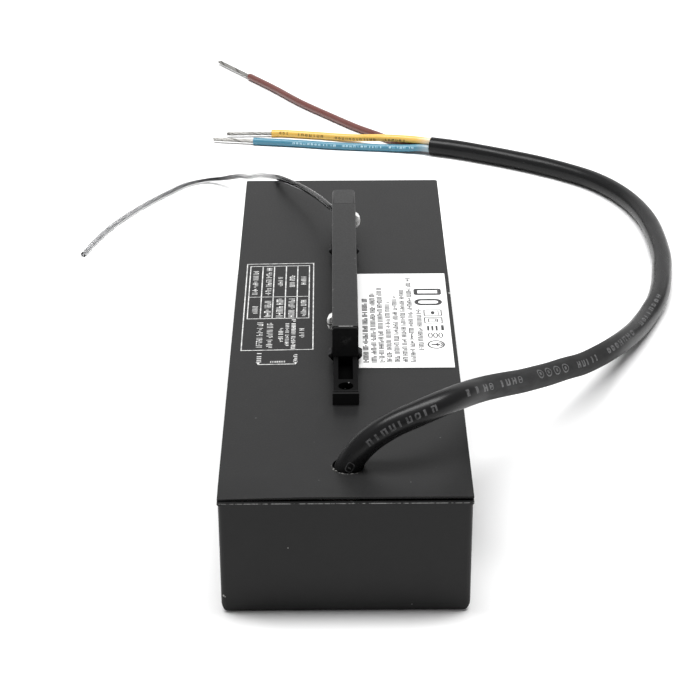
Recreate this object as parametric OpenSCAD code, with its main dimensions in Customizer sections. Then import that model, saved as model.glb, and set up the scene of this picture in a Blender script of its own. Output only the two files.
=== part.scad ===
// Slim plug-in LED power supply: a flat black metal box with a narrow
// track adapter on its lid, a mains cable and a thin tether wire.
// Millimetres. Origin: centre of the box's footprint, on the surface it
// stands on. X is the width, Y the length (cable end at -Y), Z is up.

/* [Housing] */
// Length of the housing
body_l = 150; // [148:0.5:152]
// Width of the lid
lid_w = 47.5; // [47.4:0.1:48.5]
// Height of the lid's top face
body_h = 25; // [24.8:0.1:25.5]
// Wall thickness of the tray
wall = 1.0; // [0.8:0.1:1.0]
// Radius of the tray's long lower edges
edge_r = 2.2; // [1.5:0.1:2.2]
// Radius of the tray's lower edges at its two ends
end_edge_r = 0.8; // [0.4:0.1:1.2]
// How far the tray's rim is splayed at its sides
rim_out = 0.15; // [0.05:0.05:0.2]
// Thickness of the lid sheet
lid_t = 0.45; // [0.4:0.05:0.45]
// How far the lid's front left corner is bent down
lid_dip = 0.4; // [0:0.1:0.4]
// Diameter of the cable hole in the lid
cable_hole_d = 6.1; // [6.1:0.1:6.4]

/* [Track adapter] */
// Width of the adapter's cover
cover_w = 5.4; // [5.3:0.1:5.8]
// Height of the adapter above the lid
adapter_h = 9.5; // [9.4:0.1:9.8]
// Height of the adapter's base above the lid
base_h = 2.85; // [2.8:0.05:2.9]
// Diameter of the hole in the adapter's foot
foot_hole_d = 3; // [2.2:0.1:3]
// How far the four latch noses stand out of the base
nose_out = 1.05; // [0.8:0.05:1.2]

/* [Leads] */
// Outside diameter of the mains cable
cable_d = 5; // [4.6:0.1:5]
// Outside diameter of a core's insulation
core_d = 2.1; // [1.9:0.05:2.1]
// Diameter of a core's bare strands
strand_d = 1.2; // [1:0.1:1.3]
// Outside diameter of the tether wire
tether_d = 1.4; // [1.2:0.1:1.4]

/* [Circuit board] */
// Thickness of the circuit board
pcb_t = 1.6; // [1.5:0.1:1.6]
// Height of the board's lower face
pcb_z = 4.6; // [4.4:0.1:4.6]

/* [Hidden] */
$fn = 48;
ax = 0.3;                       // centre line of the adapter
tray_w = lid_w - 0.3;
tray_h = body_h - lid_t - 0.4;  // top of the tray's walls
lid_z = body_h - lid_t;         // underside of the lid
front_y = -body_l / 2;
back_y = body_l / 2;
lid_front = front_y + 0.9;
base_z = body_h + base_h;
top_z = body_h + adapter_h;
top_of_board = pcb_z + pcb_t;
hole_x = 0.6;
hole_y = -62.85;

// Route of the mains cable: out of the lid, over the right edge and along
// the surface behind the box
cable_route = [
    [-3.9, -63.5, 14], [-1.35, -63.15, 19.3], [0.6, -62.85, 24.9],
    [3.75, -62.6, 29.5], [8.45, -62, 32.95], [14.15, -60.25, 34.85],
    [19.15, -56.95, 35.35], [23.1, -52.45, 34.45], [26, -46.8, 32.2],
    [28.5, -41.5, 29.85], [31.05, -36.2, 27.45], [33.8, -30.65, 24.9],
    [36.85, -24.65, 22.1], [40.15, -18.1, 19.25], [43.95, -11.1, 16.4],
    [48.2, -3.65, 13.55], [52.7, 3.9, 10.6], [57.1, 11.5, 8.3],
    [61.4, 19.2, 6.2], [65.7, 27, 4.6], [69.8, 35, 3.3], [73.5, 43.3, 2.5],
    [76.9, 51.7, 2.5], [79.3, 60.5, 2.5], [80.8, 69.4, 2.5], [81.9, 78.4, 2.5],
    [81.7, 97.1, 2.5], [79.2, 110.1, 2.5], [75.2, 119.7, 2.5],
    [69.7, 127.7, 2.5], [63.1, 133.7, 2.5], [56.1, 138.7, 2.5],
    [48.6, 143.2, 2.5], [41.1, 147.2, 2.5], [33.6, 150.8, 2.5],
    [26.1, 153.6, 2.5]];

// The three cores leave the sheath's end side by side, then spread out
cable_end = cable_route[len(cable_route) - 1];
end_dir = unit(cable_end - cable_route[len(cable_route) - 2]);
function core_start(across, up) =
    let (a = cable_end + across * [-end_dir[1], end_dir[0], 0] * -1 + [0, 0, up])
    [a, a + 2.5 * end_dir];
brown_route = concat(core_start(1.06, -0.62), [
    [21.1, 156.8, 1.4], [16.5, 159.8, 1.1], [11, 165.3, 1.1], [4.5, 171.8, 1.1],
    [-3, 180.8, 1.1], [-12.5, 192.8, 1.1], [-20.5, 204.8, 1.1],
    [-28.6, 215.9, 1.1]]);
yellow_route = concat(core_start(0, 1.22), [
    [19, 156.3, 3.5], [12, 158.8, 2.9], [5, 161.9, 1.7], [-2.5, 164.5, 1.1],
    [-12, 166.4, 1.1], [-17.5, 167.3, 1.1], [-20.5, 167.3, 1.1]]);
blue_route = concat(core_start(-1.06, -0.62), [
    [19, 154.4, 1.4], [12, 155.6, 1.1], [-2.5, 157.4, 1.1], [-12, 159.2, 1.1],
    [-25.6, 161.2, 1.1]]);

// Inside the housing the same three cores leave the sheath's other end
inner_dir = unit(cable_route[0] - cable_route[1]);
function inner_start(a) =
    let (u = unit(cross(inner_dir, [0, 1, 0])), w = cross(inner_dir, u),
         b = cable_route[0] + 1.24 * (cos(a) * u + sin(a) * w))
    [b, b + 2 * inner_dir];
// Route of the tether wire: out of the adapter's left side, over the lid's
// back edge and round to the left on the surface
tether_route = [
    [-1, 41, 31.5], [-2.6, 43.5, 31.4], [-5, 50, 30.7], [-9, 60.8, 28.8],
    [-15, 72.3, 26.7], [-19, 85, 22.1], [-22, 99.5, 16.1], [-25, 112.5, 10.3],
    [-28.5, 123.6, 5.8], [-33.1, 130.5, 2.3], [-38.1, 132.7, 0.9],
    [-43.1, 130.2, 0.7], [-47.6, 124.7, 0.7], [-53.6, 116.1, 0.7],
    [-59.6, 105.6, 0.7], [-64.1, 94.6, 0.7], [-67.1, 84.1, 0.7]];

// ---------- helpers ----------

function unit(v) = v / norm(v);
function tangent(p, i) =
    i == 0 ? unit(p[1] - p[0]) :
    i == len(p) - 1 ? unit(p[i] - p[i - 1]) :
    unit(unit(p[i + 1] - p[i]) + unit(p[i] - p[i - 1]));
function flatten_to(v, t) = unit(v - (v * t) * t);

// A round lead swept along a route, one ring at each point
module swept(p, d, sides) {
    n = len(p);
    t = [for (i = [0 : n - 1]) tangent(p, i)];
    start = abs(t[0][2]) > 0.9 ? [1, 0, 0] : [0, 0, 1];
    normals = [for (i = 0, v = flatten_to(start, t[0]); i < n;
        i = i + 1, v = i < n ? flatten_to(v, t[i]) : v) v];
    points = [for (i = [0 : n - 1]) for (k = [0 : sides - 1])
        let (b = cross(t[i], normals[i]), a = 360 * k / sides)
        p[i] + d / 2 * (cos(a) * normals[i] + sin(a) * b)];
    walls = [for (i = [0 : n - 2]) for (k = [0 : sides - 1])
        let (m = (k + 1) % sides)
        [i * sides + k, (i + 1) * sides + k, (i + 1) * sides + m, i * sides + m]];
    ends = [[for (k = [0 : sides - 1]) k],
        [for (k = [sides - 1 : -1 : 0]) (n - 1) * sides + k]];
    polyhedron(points, concat(walls, ends), convexity = 8);
}

// A cylinder from point a to point b
module rod(a, b, d) {
    v = b - a;
    translate(a)
        rotate([0, acos(v[2] / norm(v)), atan2(v[1], v[0])])
            cylinder(h = norm(v), d = d);
}

// Outline with two rounded lower corners, bottom at 0
module low_round(w, h, r) {
    translate([-w / 2, r]) square([w, h - r]);
    translate([-w / 2 + r, 0]) square([w - 2 * r, h]);
    for (s = [-1, 1]) translate([s * (w / 2 - r), r]) circle(r);
}

module round_square(w, l, r) {
    square([w - 2 * r, l], center = true);
    square([w, l - 2 * r], center = true);
    for (x = [-1, 1]) for (y = [-1, 1])
        translate([x * (w / 2 - r), y * (l / 2 - r)]) circle(r);
}

// A block whose lower edges and upright corners are round: r along the long
// edges, re at the ends, rv at the corners
module tub(w, l, h, r, re, rv) {
    intersection() {
        rotate([90, 0, 0]) translate([0, 0, -l / 2])
            linear_extrude(l) low_round(w, h, r);
        rotate([90, 0, 90]) translate([0, 0, -w / 2])
            linear_extrude(w) low_round(l, h, re);
        linear_extrude(h) round_square(w, l, rv);
    }
}

module toroid(d_out, d_in, h) {
    difference() {
        cylinder(h = h, d = d_out);
        translate([0, 0, -1]) cylinder(h = h + 2, d = d_in);
    }
}

// Pan head screw, head on top, its seat at the origin
module pan_screw(head_d, head_h, d, l) {
    difference() {
        union() {
            cylinder(h = head_h, d = head_d);
            translate([0, 0, -l]) cylinder(h = l, d = d);
        }
        for (a = [0, 90]) rotate(a)
            translate([-head_d * 0.3, -0.4, head_h * 0.5])
                cube([head_d * 0.6, 0.8, head_h]);
    }
}

// ---------- housing ----------

module housing_tray() {
    color("#2e2e30") difference() {
        union() {
            tub(tray_w, body_l, tray_h, edge_r, end_edge_r, 1);
            // the rim is splayed a little at both sides
            for (s = [0, 1]) mirror([s, 0, 0])
                translate([0, body_l / 2, tray_h]) rotate([90, 0, 0])
                    linear_extrude(body_l)
                        polygon([[tray_w / 2 - 0.5, -0.5], [tray_w / 2, -0.35],
                            [tray_w / 2 + rim_out, -0.1], [tray_w / 2 + rim_out, 0],
                            [tray_w / 2 - 0.5, 0]]);
        }
        translate([0, 0, wall])
            tub(tray_w - 2 * wall, body_l - 2 * wall, body_h, edge_r - wall, 0.3, 0.5);
    }
}

// The sheet's front left corner is bent down a little
dip_x = -8;
dip_y = front_y + 9;
dip_nx = 7;
dip_ny = 5;
lid_r = 0.6;    // radius of the sheet's rear corners
function dip_at(x, y) =
    let (u = (dip_x - x) / (dip_x + lid_w / 2), v = (dip_y - y) / (dip_y - lid_front))
    body_h - lid_dip * u * v * v;
module bent_corner() {
    top = [for (j = [0 : dip_ny]) for (i = [0 : dip_nx])
        let (x = -lid_w / 2 + (dip_x + lid_w / 2) * i / dip_nx,
             y = lid_front + (dip_y - lid_front) * j / dip_ny)
        [x, y, dip_at(x, y)]];
    low = [for (q = top) q - [0, 0, lid_t]];
    m = dip_nx + 1;
    k = len(top);
    up = [for (j = [0 : dip_ny - 1]) for (i = [0 : dip_nx - 1])
        for (f = [[j * m + i, (j + 1) * m + i, j * m + i + 1],
                  [j * m + i + 1, (j + 1) * m + i, (j + 1) * m + i + 1]]) f];
    down = [for (f = up) [f[2] + k, f[1] + k, f[0] + k]];
    rim = concat(
        [for (i = [0 : dip_nx]) i],
        [for (j = [1 : dip_ny]) j * m + dip_nx],
        [for (i = [dip_nx - 1 : -1 : 0]) dip_ny * m + i],
        [for (j = [dip_ny - 1 : -1 : 1]) j * m]);
    side = [for (q = [0 : len(rim) - 1])
        let (a = rim[q], b = rim[(q + 1) % len(rim)]) [a, b, b + k, a + k]];
    polyhedron(concat(top, low), concat(up, down, side), convexity = 4);
}

module lid_plate() {
    color("#38383a") union() {
        difference() {
            translate([0, 0, lid_z]) linear_extrude(lid_t) difference() {
                union() {
                    translate([-lid_w / 2, lid_front])
                        square([lid_w, back_y - lid_front - lid_r]);
                    translate([-lid_w / 2 + lid_r, lid_front])
                        square([lid_w - 2 * lid_r, back_y - lid_front]);
                    for (s = [-1, 1])
                        translate([s * (lid_w / 2 - lid_r), back_y - lid_r]) circle(lid_r);
                }
                translate([-lid_w / 2 - 1, lid_front - 1])
                    square([dip_x + lid_w / 2 + 1, dip_y - lid_front + 1]);
            }
            // cable hole
            translate([hole_x, hole_y, lid_z - 1]) cylinder(h = 3, d = cable_hole_d);
            // lead hole and screw holes, under the adapter
            translate([ax, 24, lid_z - 1]) cylinder(h = 3, d = 3.6);
            for (y = [-12, 32]) translate([ax, y, lid_z - 1]) cylinder(h = 3, d = 1.8);
        }
        bent_corner();
    }
}

// A bead of sealant between the tray's rim and the lid, open at the front
module lid_seal() {
    color("#202022") translate([0, 0, tray_h]) linear_extrude(lid_z - tray_h) {
        translate([tray_w / 2 - 0.9, front_y + 1.5]) square([0.8, body_l - 2.5]);
        translate([-tray_w / 2 + 0.1, dip_y + 0.5]) square([0.8, body_l - 10.5]);
        translate([-tray_w / 2 + 0.1, back_y - 1]) square([tray_w - 0.2, 0.8]);
    }
}

// White plate beside the adapter, its print left plain
module rating_plate() {
    color("#f2f2f2") translate([3.1, -24.1, body_h]) cube([19.8, 44.8, 0.1]);
}

module insulation_liner() {
    color("#d8d2b8") difference() {
        union() {
            translate([-20.4, -50, wall]) cube([40.8, 123, 0.3]);
            for (s = [0, 1]) mirror([s, 0, 0])
                translate([20.4, -50, wall]) difference() {
                    cube([tray_w / 2 - wall - 20.4, 123, tray_h - wall - 2]);
                    translate([-1, -1, 0.3])
                        cube([tray_w / 2 - wall - 20.4 + 0.7, 125, 30]);
                    // clears the tray's round lower edge
                    translate([tray_w / 2 - wall - 20.4 - 1.3, -1, -1])
                        cube([2.3, 125, 2.3]);
                }
        }
        for (x = [-17, 17]) for (y = [-45, 67])
            translate([x, y, 0]) cylinder(h = 3, d = 5.6);
    }
}

// ---------- track adapter ----------

// Latch nose: a short ridge with a sharp tip
module nose(side, y) {
    translate([ax, y, body_h + 1.2]) mirror([side < 0 ? 1 : 0, 0, 0])
        rotate([90, 0, 0]) translate([0, 0, -2.7])
            linear_extrude(2.7)
                polygon([[2, -0.65], [2.45, -0.65], [2.45 + nose_out, 0.6],
                    [2.45 + nose_out, 0.95], [2.45, 1.6], [2, 1.6]]);
}

module adapter_base() {
    color("#161617") union() {
        difference() {
            union() {
                translate([ax - 2.45, -39, body_h]) cube([4.9, 78, base_h]);
                translate([ax - 2.65, -39.5, body_h]) cube([5.3, 0.9, base_h - 0.25]);
            }
            // open pocket behind the foot
            translate([ax - 1.48, -34, body_h + 0.6]) cube([2.96, 9.7, base_h]);
            // foot hole
            translate([ax, -36.8, body_h - 1]) cylinder(h = base_h + 2, d = foot_hole_d);
            // lead hole
            translate([ax, 24, body_h - 1]) cylinder(h = base_h + 2, d = 3.6);
            // holes for the two screws from inside the housing
            for (y = [-12, 32]) translate([ax, y, body_h - 1])
                cylinder(h = base_h + 2, d = 1.8);
        }
        for (s = [-1, 1]) for (y = [-22.2, 28.9]) nose(s, y);
    }
}

module adapter_core() {
    color("#121213") difference() {
        union() {
            translate([ax - 2.2, -24.3, base_z]) cube([4.4, 63.3, adapter_h - base_h - 0.5]);
            // front face with broken upper corners
            translate([ax, -23.5, base_z]) rotate([90, 0, 0]) linear_extrude(0.8)
                polygon([[-2.65, 0], [2.65, 0], [2.65, adapter_h - base_h - 0.4],
                    [2.35, adapter_h - base_h - 0.1], [-2.35, adapter_h - base_h - 0.1],
                    [-2.65, adapter_h - base_h - 0.4]]);
        }
        // channel for the leads
        translate([ax - 1.3, -19, base_z - 1]) cube([2.6, 58.1, 5.6]);
        // seats of the contacts
        translate([ax + 1, 34.9, body_h + 4.8]) cube([3, 2.2, 3.6]);
        translate([ax - 4, -16.9, body_h + 4.8]) cube([3, 2.2, 3.6]);
        // shallow mark of the mould's ejector pin
        translate([ax - 0.4, -24.4, base_z + 3.4]) rotate([-90, 0, 0])
            cylinder(h = 0.2, d = 1.2);
    }
}

module adapter_cover() {
    w = cover_w;
    h = adapter_h - base_h;
    r = 0.35;
    color("#39393b") difference() {
        translate([ax, 39, base_z]) rotate([90, 0, 0]) linear_extrude(62.5)
            difference() {
                union() {
                    translate([-w / 2, 0]) square([w, h - r]);
                    translate([-w / 2 + r, 0]) square([w - 2 * r, h]);
                    for (s = [-1, 1]) translate([s * (w / 2 - r), h - r]) circle(r);
                }
                translate([-2.2, -1]) square([4.4, h + 1 - 0.5]);
            }
        // windows for the contacts
        translate([ax + 2, 34.9, body_h + 4.8]) cube([3, 2.2, 3.6]);
        translate([ax - 5, -16.9, body_h + 4.8]) cube([3, 2.2, 3.6]);
    }
}

module adapter_end_cap() {
    color("#37373a") difference() {
        translate([ax, 43, body_h]) intersection() {
            linear_extrude(adapter_h) union() {
                translate([0, -1]) square([5.3, 6], center = true);
                round_square(5.3, 8, 1.3);
            }
            rotate([90, 0, 0]) translate([0, 0, -4]) linear_extrude(8) union() {
                square([5.3, 2 * adapter_h - 1], center = true);
                square([4.3, 2 * adapter_h], center = true);
                for (s = [-1, 1]) translate([s * 2.15, adapter_h - 0.5]) circle(0.5);
            }
        }
        // hole that the tether wire comes out of
        rod([ax - 0.3, 39.5, 31.54], [-3.28, 44.56, 31.36], tether_d + 0.4);
        // notch at the joint with the cover
        translate([2.75, 38.9, 28]) cube([0.3, 0.5, 7]);
    }
}

// Spring contact: a bowed silver leaf that stands out of the cover
module contact(side, y) {
    translate([ax, y, body_h + 6.6]) mirror([side < 0 ? 1 : 0, 0, 0])
        rotate([90, 0, 0]) translate([0, 0, -2])
            difference() {
                intersection() {
                    linear_extrude(2) union() {
                        intersection() {
                            translate([2.15, 0]) circle(1.65);
                            translate([1.3, -1.7]) square([3, 3.4]);
                        }
                        translate([1.3, -1.65]) square([0.9, 3.3]);
                    }
                    // bowed lengthwise too
                    union() {
                        translate([1, -2, -0.1]) cube([1.65, 4, 2.2]);
                        translate([2.62, 2, 1]) rotate([90, 0, 0]) cylinder(h = 4, r = 1.18);
                    }
                }
                // slot between the two leaves
                translate([2.75, -0.5, -1]) rotate(14) cube([1.4, 0.22, 4]);
            }
}
module contact_right() { color("#d9d9dc") contact(1, 35); }
module contact_left() { color("#d9d9dc") contact(-1, -16.8); }

module adapter_screws() {
    color("#b9bbbe") for (y = [-12, 32]) translate([ax, y, lid_z])
        rotate([180, 0, 0]) pan_screw(3.6, 1.3, 1.8, lid_t + base_h - 0.4);
}

module output_lead_red() {
    color("#b32424") swept([[6, 23.8, top_of_board], [6, 23.8, 14], [4, 23.8, 18.5],
        [ax + 0.9, 23.9, 21.5], [ax + 0.7, 24, 25.5], [ax + 0.62, 24.6, 28.8],
        [ax + 0.62, 27, 30.8], [ax + 0.62, 31, 31.5], [ax + 0.62, 34, 31.6],
        [ax + 0.62, 36, 31.6]], 1.3, 8);
}
module output_lead_black() {
    color("#1b1b1c") swept([[-6, 23.8, top_of_board], [-6, 23.8, 14], [-4, 23.8, 18.5],
        [ax - 0.9, 23.9, 21.5], [ax - 0.7, 24, 25.5], [ax - 0.62, 23.4, 28.8],
        [ax - 0.62, 21, 30.8], [ax - 0.62, 10, 31.5], [ax - 0.62, -5, 31.6],
        [ax - 0.62, -15.8, 31.6]], 1.3, 8);
}

// ---------- cords ----------

module tether_wire() { color("#8f9296") swept(tether_route, tether_d, 8); }
module mains_cable() { color("#232325") swept(cable_route, cable_d, 12); }
module brown_core() { color("#77433d") swept(brown_route, core_d, 8); }
module yellow_core() { color("#efc454") swept(yellow_route, core_d, 8); }
module blue_core() { color("#3f93b6") swept(blue_route, core_d, 8); }

// Stripped strands, in line with the end of their core
module bare_end(route, l) {
    n = len(route) - 1;
    rod(route[n], route[n] + l * unit(route[n] - route[n - 1]), strand_d);
}

module brown_strands() {
    color("#d2d0cb") bare_end(brown_route, 18);
}
module yellow_strands() {
    color("#d2d0cb") bare_end(yellow_route, 13.2);
}
module blue_strands() {
    color("#d2d0cb") bare_end(blue_route, 12);
}

// ---------- inside: cable entry ----------

// Tie pulled tight round the sheath under the lid: it takes the pull
module cable_tie() {
    color("#e6e6e2") translate(cable_route[1])
        rotate([-atan2(0.65, 10.9), atan2(4.5, 10.9), 0]) difference() {
            union() {
                translate([0, 0, -1.2]) cylinder(h = 2.4, d = 7.4);
                translate([-6.2, -2, -1.9]) cube([3.6, 4, 3.8]);
            }
            translate([0, 0, -3]) cylinder(h = 6, d = 5.15);
        }
}

module line_lead() {
    color("#77433d") swept(concat(inner_start(210), [[-8.5, -61, 9.6], [-11, -56.5, 9],
        [-12, -50.5, 9.6], [-12, -47.6, 9.2], [-12, -46.6, 8.1], [-12, -46.6, top_of_board]]), 2.1, 8);
}
module neutral_lead() {
    color("#3f93b6") swept(concat(inner_start(330), [[-3.5, -60.5, 8.6], [-2, -56, 8.2],
        [1, -51, 9.4], [2, -48, 9.4], [2, -46.8, 8.1], [2, -46.8, top_of_board]]), 2.1, 8);
}
module earth_lead() {
    color("#efc454") swept(concat(inner_start(90), [[-3.5, -67.5, 9.5], [0, -69.5, 6.8],
        [4.5, -67, 5.2], [6.9, -65.55, 5.2]]), 2.1, 8);
}

module earth_lug() {
    color("#c9c9c6") union() {
        translate([12, -63, pcb_z - 0.6]) difference() {
            cylinder(h = 0.8, d = 7);
            translate([0, 0, -1]) cylinder(h = 3, d = 3.2);
        }
        difference() {
            translate([12, -63, pcb_z - 0.6]) rotate(206.6)
                translate([3, -1.4, 0]) cube([2.4, 2.8, 0.8]);
            translate([12, -63, 0]) cylinder(h = 9, d = 3.2);
        }
    }
}

module earth_screw() {
    color("#c2c4c8") translate([12, -63, pcb_z + 0.2]) pan_screw(5.6, 1.9, 2.6, 2.8);
}

// ---------- inside: board and components ----------

module circuit_board() {
    color("#2f6b3c") difference() {
        translate([-20.4, -50, pcb_z]) cube([40.8, 121, pcb_t]);
        for (x = [-17, 17]) for (y = [-45, 67])
            translate([x, y, pcb_z - 1]) cylinder(h = 4, d = 3.2);
    }
}

// Four pillars under the board and one for the earth lug
module board_standoffs() {
    color("#c8b56a") {
        for (x = [-17, 17]) for (y = [-45, 67]) translate([x, y, wall]) difference() {
            cylinder(h = pcb_z - wall, d = 5);
            translate([0, 0, 0.8]) cylinder(h = 9, d = 2.6);
        }
        translate([12, -63, wall]) difference() {
            cylinder(h = pcb_z - 0.6 - wall, d = 5);
            translate([0, 0, 0.8]) cylinder(h = 9, d = 2.6);
        }
    }
}

module board_screws() {
    color("#c2c4c8") for (x = [-17, 17]) for (y = [-45, 67])
        translate([x, y, top_of_board]) pan_screw(5.6, 1.9, 2.6, 4.2);
}

module fuse() {
    color("#c9c5ba") translate([-11, -43, top_of_board + 3.1]) rotate([-90, 0, 0]) {
        cylinder(h = 20, d = 5);
        cylinder(h = 5, d = 5.6);
        translate([0, 0, 15]) cylinder(h = 5, d = 5.6);
    }
}

module varistor() {
    color("#2d5fa8") translate([-6.5, -34, top_of_board + 6]) rotate([0, 90, 0])
        cylinder(h = 4, d = 10.5);
}

module thermistor() {
    color("#3a4a3a") translate([10, -42.5, top_of_board + 5.2]) rotate([90, 0, 0])
        cylinder(h = 4, d = 9);
}

module filter_capacitor() {
    color("#d8c23c") translate([1.5, -36, top_of_board]) cube([17.5, 9, 14.5]);
}

module choke_core() {
    color("#3b3f3a") translate([-8.5, -13, top_of_board + 1]) toroid(17, 9, 8);
}
module choke_windings() {
    color("#b06a2c") translate([-8.5, -13, top_of_board]) for (s = [0, 180]) rotate(s)
        intersection() {
            difference() {
                cylinder(h = 10, d = 19);
                translate([0, 0, 1]) toroid(17, 9, 8);
                translate([0, 0, -1]) cylinder(h = 12, d = 7);
            }
            translate([2, -12, 0]) cube([12, 24, 10]);
        }
}

module bridge_rectifier() {
    color("#1d1d1f") translate([4.5, -17, top_of_board]) cube([15, 4, 12]);
}

module bulk_capacitors() {
    color("#2a2f45") for (x = [-8.5, 8.5]) translate([x, -3, top_of_board + 8])
        rotate([-90, 0, 0]) {
            cylinder(h = 2, d = 16);
            translate([0, 0, 2]) cylinder(h = 1, d = 15);
            translate([0, 0, 3]) cylinder(h = 20, d = 16);
        }
}

// Two facing E halves, drawn as one glued core
module transformer_core() {
    color("#4a4a4c") translate([-4, 39, top_of_board + 7.7]) difference() {
        cube([24, 22, 7], center = true);
        for (s = [-1, 1]) translate([s * 7, 0, 0]) cube([6, 16, 9], center = true);
    }
}
module transformer_bobbin() {
    color("#222324") translate([-4, 39, top_of_board + 7.7]) difference() {
        union() {
            for (s = [-1, 1]) translate([0, s * 7.35, 0]) cube([19.6, 1.2, 14.6], center = true);
            cube([9.8, 15.9, 9], center = true);
        }
        cube([8.01, 17, 7.01], center = true);
        // the flanges clear the core's outer legs
        for (s = [-1, 1]) translate([s * 10.6, 0, 0]) cube([1.4, 17, 7.2], center = true);
    }
}
module transformer_winding() {
    color("#d9b13a") translate([-4, 39, top_of_board + 7.7]) difference() {
        cube([19, 13.4, 13.6], center = true);
        cube([9.9, 15, 9.1], center = true);
        for (s = [-1, 1]) translate([s * 12, 0, 0]) cube([4.2, 15, 7.2], center = true);
    }
}

module heat_plate() {
    color("#b7babd") difference() {
        translate([18.9, 29, top_of_board]) cube([1.5, 32, 15.5]);
        for (y = [36, 54]) translate([18, y, top_of_board + 12.8]) rotate([0, 90, 0])
            cylinder(h = 4, d = 2.6);
    }
}

// Power package: plastic body on a metal tab, screwed to the heat plate
module power_package(y) {
    translate([18.9, y, top_of_board]) {
        difference() {
            translate([-1.3, -5, 2]) cube([1.3, 10, 13.3]);
            translate([-2, 0, 12.8]) rotate([0, 90, 0]) cylinder(h = 3, d = 3);
        }
        translate([-4.4, -5, 2]) cube([3.1, 10, 8.2]);
        for (k = [-2.5, 0, 2.5]) translate([-2.6, k - 0.4, 0]) cube([0.6, 0.8, 2.1]);
    }
}
module switching_transistor() { color("#222325") power_package(36); }
module output_rectifier() { color("#222325") power_package(54); }
module heat_plate_screws() {
    color("#c2c4c8") for (y = [36, 54]) translate([17.6, y, top_of_board + 12.8])
        rotate([0, -90, 0]) pan_screw(4.8, 1.6, 2.6, 2.8);
}

module output_capacitors() {
    color("#25303d") for (c = [[-14, 55, 10, 14], [-6, 65.5, 10, 14], [9, 68, 5, 9]])
        translate([c[0], c[1], top_of_board]) {
            cylinder(h = 1.4, d = c[2]);
            translate([0, 0, 1.4]) cylinder(h = 0.6, d = c[2] - 0.7);
            translate([0, 0, 2]) cylinder(h = c[3], d = c[2]);
        }
}

module output_inductor_core() {
    color("#c7b23a") translate([5.5, 58, top_of_board + 1]) toroid(13, 6.6, 6);
}
module output_inductor_winding() {
    color("#b06a2c") translate([5.5, 58, top_of_board]) difference() {
        intersection() {
            cylinder(h = 8, d = 15);
            translate([-8, -5.5, 0]) cube([16, 13.5, 8]);
        }
        translate([0, 0, 1]) toroid(13, 6.6, 6);
        translate([0, 0, -1]) cylinder(h = 10, d = 4.8);
    }
}

module controller_chip() {
    color("#1c1c1e") translate([-19, 24.5, top_of_board]) cube([4, 5, 1.6]);
}
module optocoupler() {
    color("#e9e9e4") translate([-19.5, 34, top_of_board]) cube([3, 6.5, 3.6]);
}
module safety_capacitor() {
    color("#3274b8") translate([-20, 46, top_of_board + 4.5]) rotate([0, 90, 0])
        cylinder(h = 3.5, d = 7.5);
}

// ---------- selection ----------

housing_tray();
lid_plate();
lid_seal();
rating_plate();
insulation_liner();
adapter_base();
adapter_core();
adapter_cover();
adapter_end_cap();
contact_right();
contact_left();
adapter_screws();
output_lead_red();
output_lead_black();
tether_wire();
mains_cable();
brown_core();
yellow_core();
blue_core();
brown_strands();
yellow_strands();
blue_strands();
cable_tie();
line_lead();
neutral_lead();
earth_lead();
earth_lug();
earth_screw();
circuit_board();
board_standoffs();
board_screws();
fuse();
varistor();
thermistor();
filter_capacitor();
choke_core();
choke_windings();
bridge_rectifier();
bulk_capacitors();
transformer_core();
transformer_bobbin();
transformer_winding();
heat_plate();
heat_plate_screws();
switching_transistor();
output_rectifier();
output_capacitors();
output_inductor_core();
output_inductor_winding();
controller_chip();
optocoupler();
safety_capacitor();
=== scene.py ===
# Looks of the slim plug-in LED power supply: camera, cords, print, finishes
# and light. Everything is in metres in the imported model's frame; lengths in
# the lists below are in millimetres and go through MM.
import bisect
import math
import random

import bpy
from mathutils import Matrix, Vector


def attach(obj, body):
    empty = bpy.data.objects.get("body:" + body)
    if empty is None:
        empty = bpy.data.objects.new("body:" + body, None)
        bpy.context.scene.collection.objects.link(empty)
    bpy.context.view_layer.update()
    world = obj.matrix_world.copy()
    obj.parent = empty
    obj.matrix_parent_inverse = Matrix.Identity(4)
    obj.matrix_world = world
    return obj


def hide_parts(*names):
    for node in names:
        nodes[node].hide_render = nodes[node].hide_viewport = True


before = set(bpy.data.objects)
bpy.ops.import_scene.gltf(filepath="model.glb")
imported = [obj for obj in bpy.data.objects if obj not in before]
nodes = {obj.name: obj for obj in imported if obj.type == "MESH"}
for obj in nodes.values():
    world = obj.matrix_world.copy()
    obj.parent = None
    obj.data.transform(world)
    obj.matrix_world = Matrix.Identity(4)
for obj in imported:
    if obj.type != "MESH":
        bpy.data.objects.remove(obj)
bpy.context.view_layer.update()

MM = 0.001
scene = bpy.context.scene


# ---------------------------------------------------------------- camera

def make_camera():
    yaw, pitch, roll = (math.radians(a) for a in (-0.40, 27.78, -0.14))
    forward = Vector((-math.sin(yaw) * math.cos(pitch),
                      math.cos(yaw) * math.cos(pitch), -math.sin(pitch)))
    right = Vector((math.cos(yaw), math.sin(yaw), 0))
    up = right.cross(forward)
    x = math.cos(roll) * right + math.sin(roll) * up
    y = -math.sin(roll) * right + math.cos(roll) * up
    data = bpy.data.cameras.new("camera")
    data.sensor_fit = "HORIZONTAL"
    data.sensor_width = 36
    data.lens = 103.32
    data.clip_start, data.clip_end = 0.01, 20
    cam = bpy.data.objects.new("camera", data)
    scene.collection.objects.link(cam)
    m = Matrix((x, y, -forward)).transposed().to_4x4()
    m.translation = Vector((-1.3, -389.0, 221.5)) * MM
    cam.matrix_world = m
    scene.camera = cam


make_camera()
scene.view_settings.view_transform = "Standard"
scene.view_settings.look = "None"


# ---------------------------------------------------------------- shaders

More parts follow.
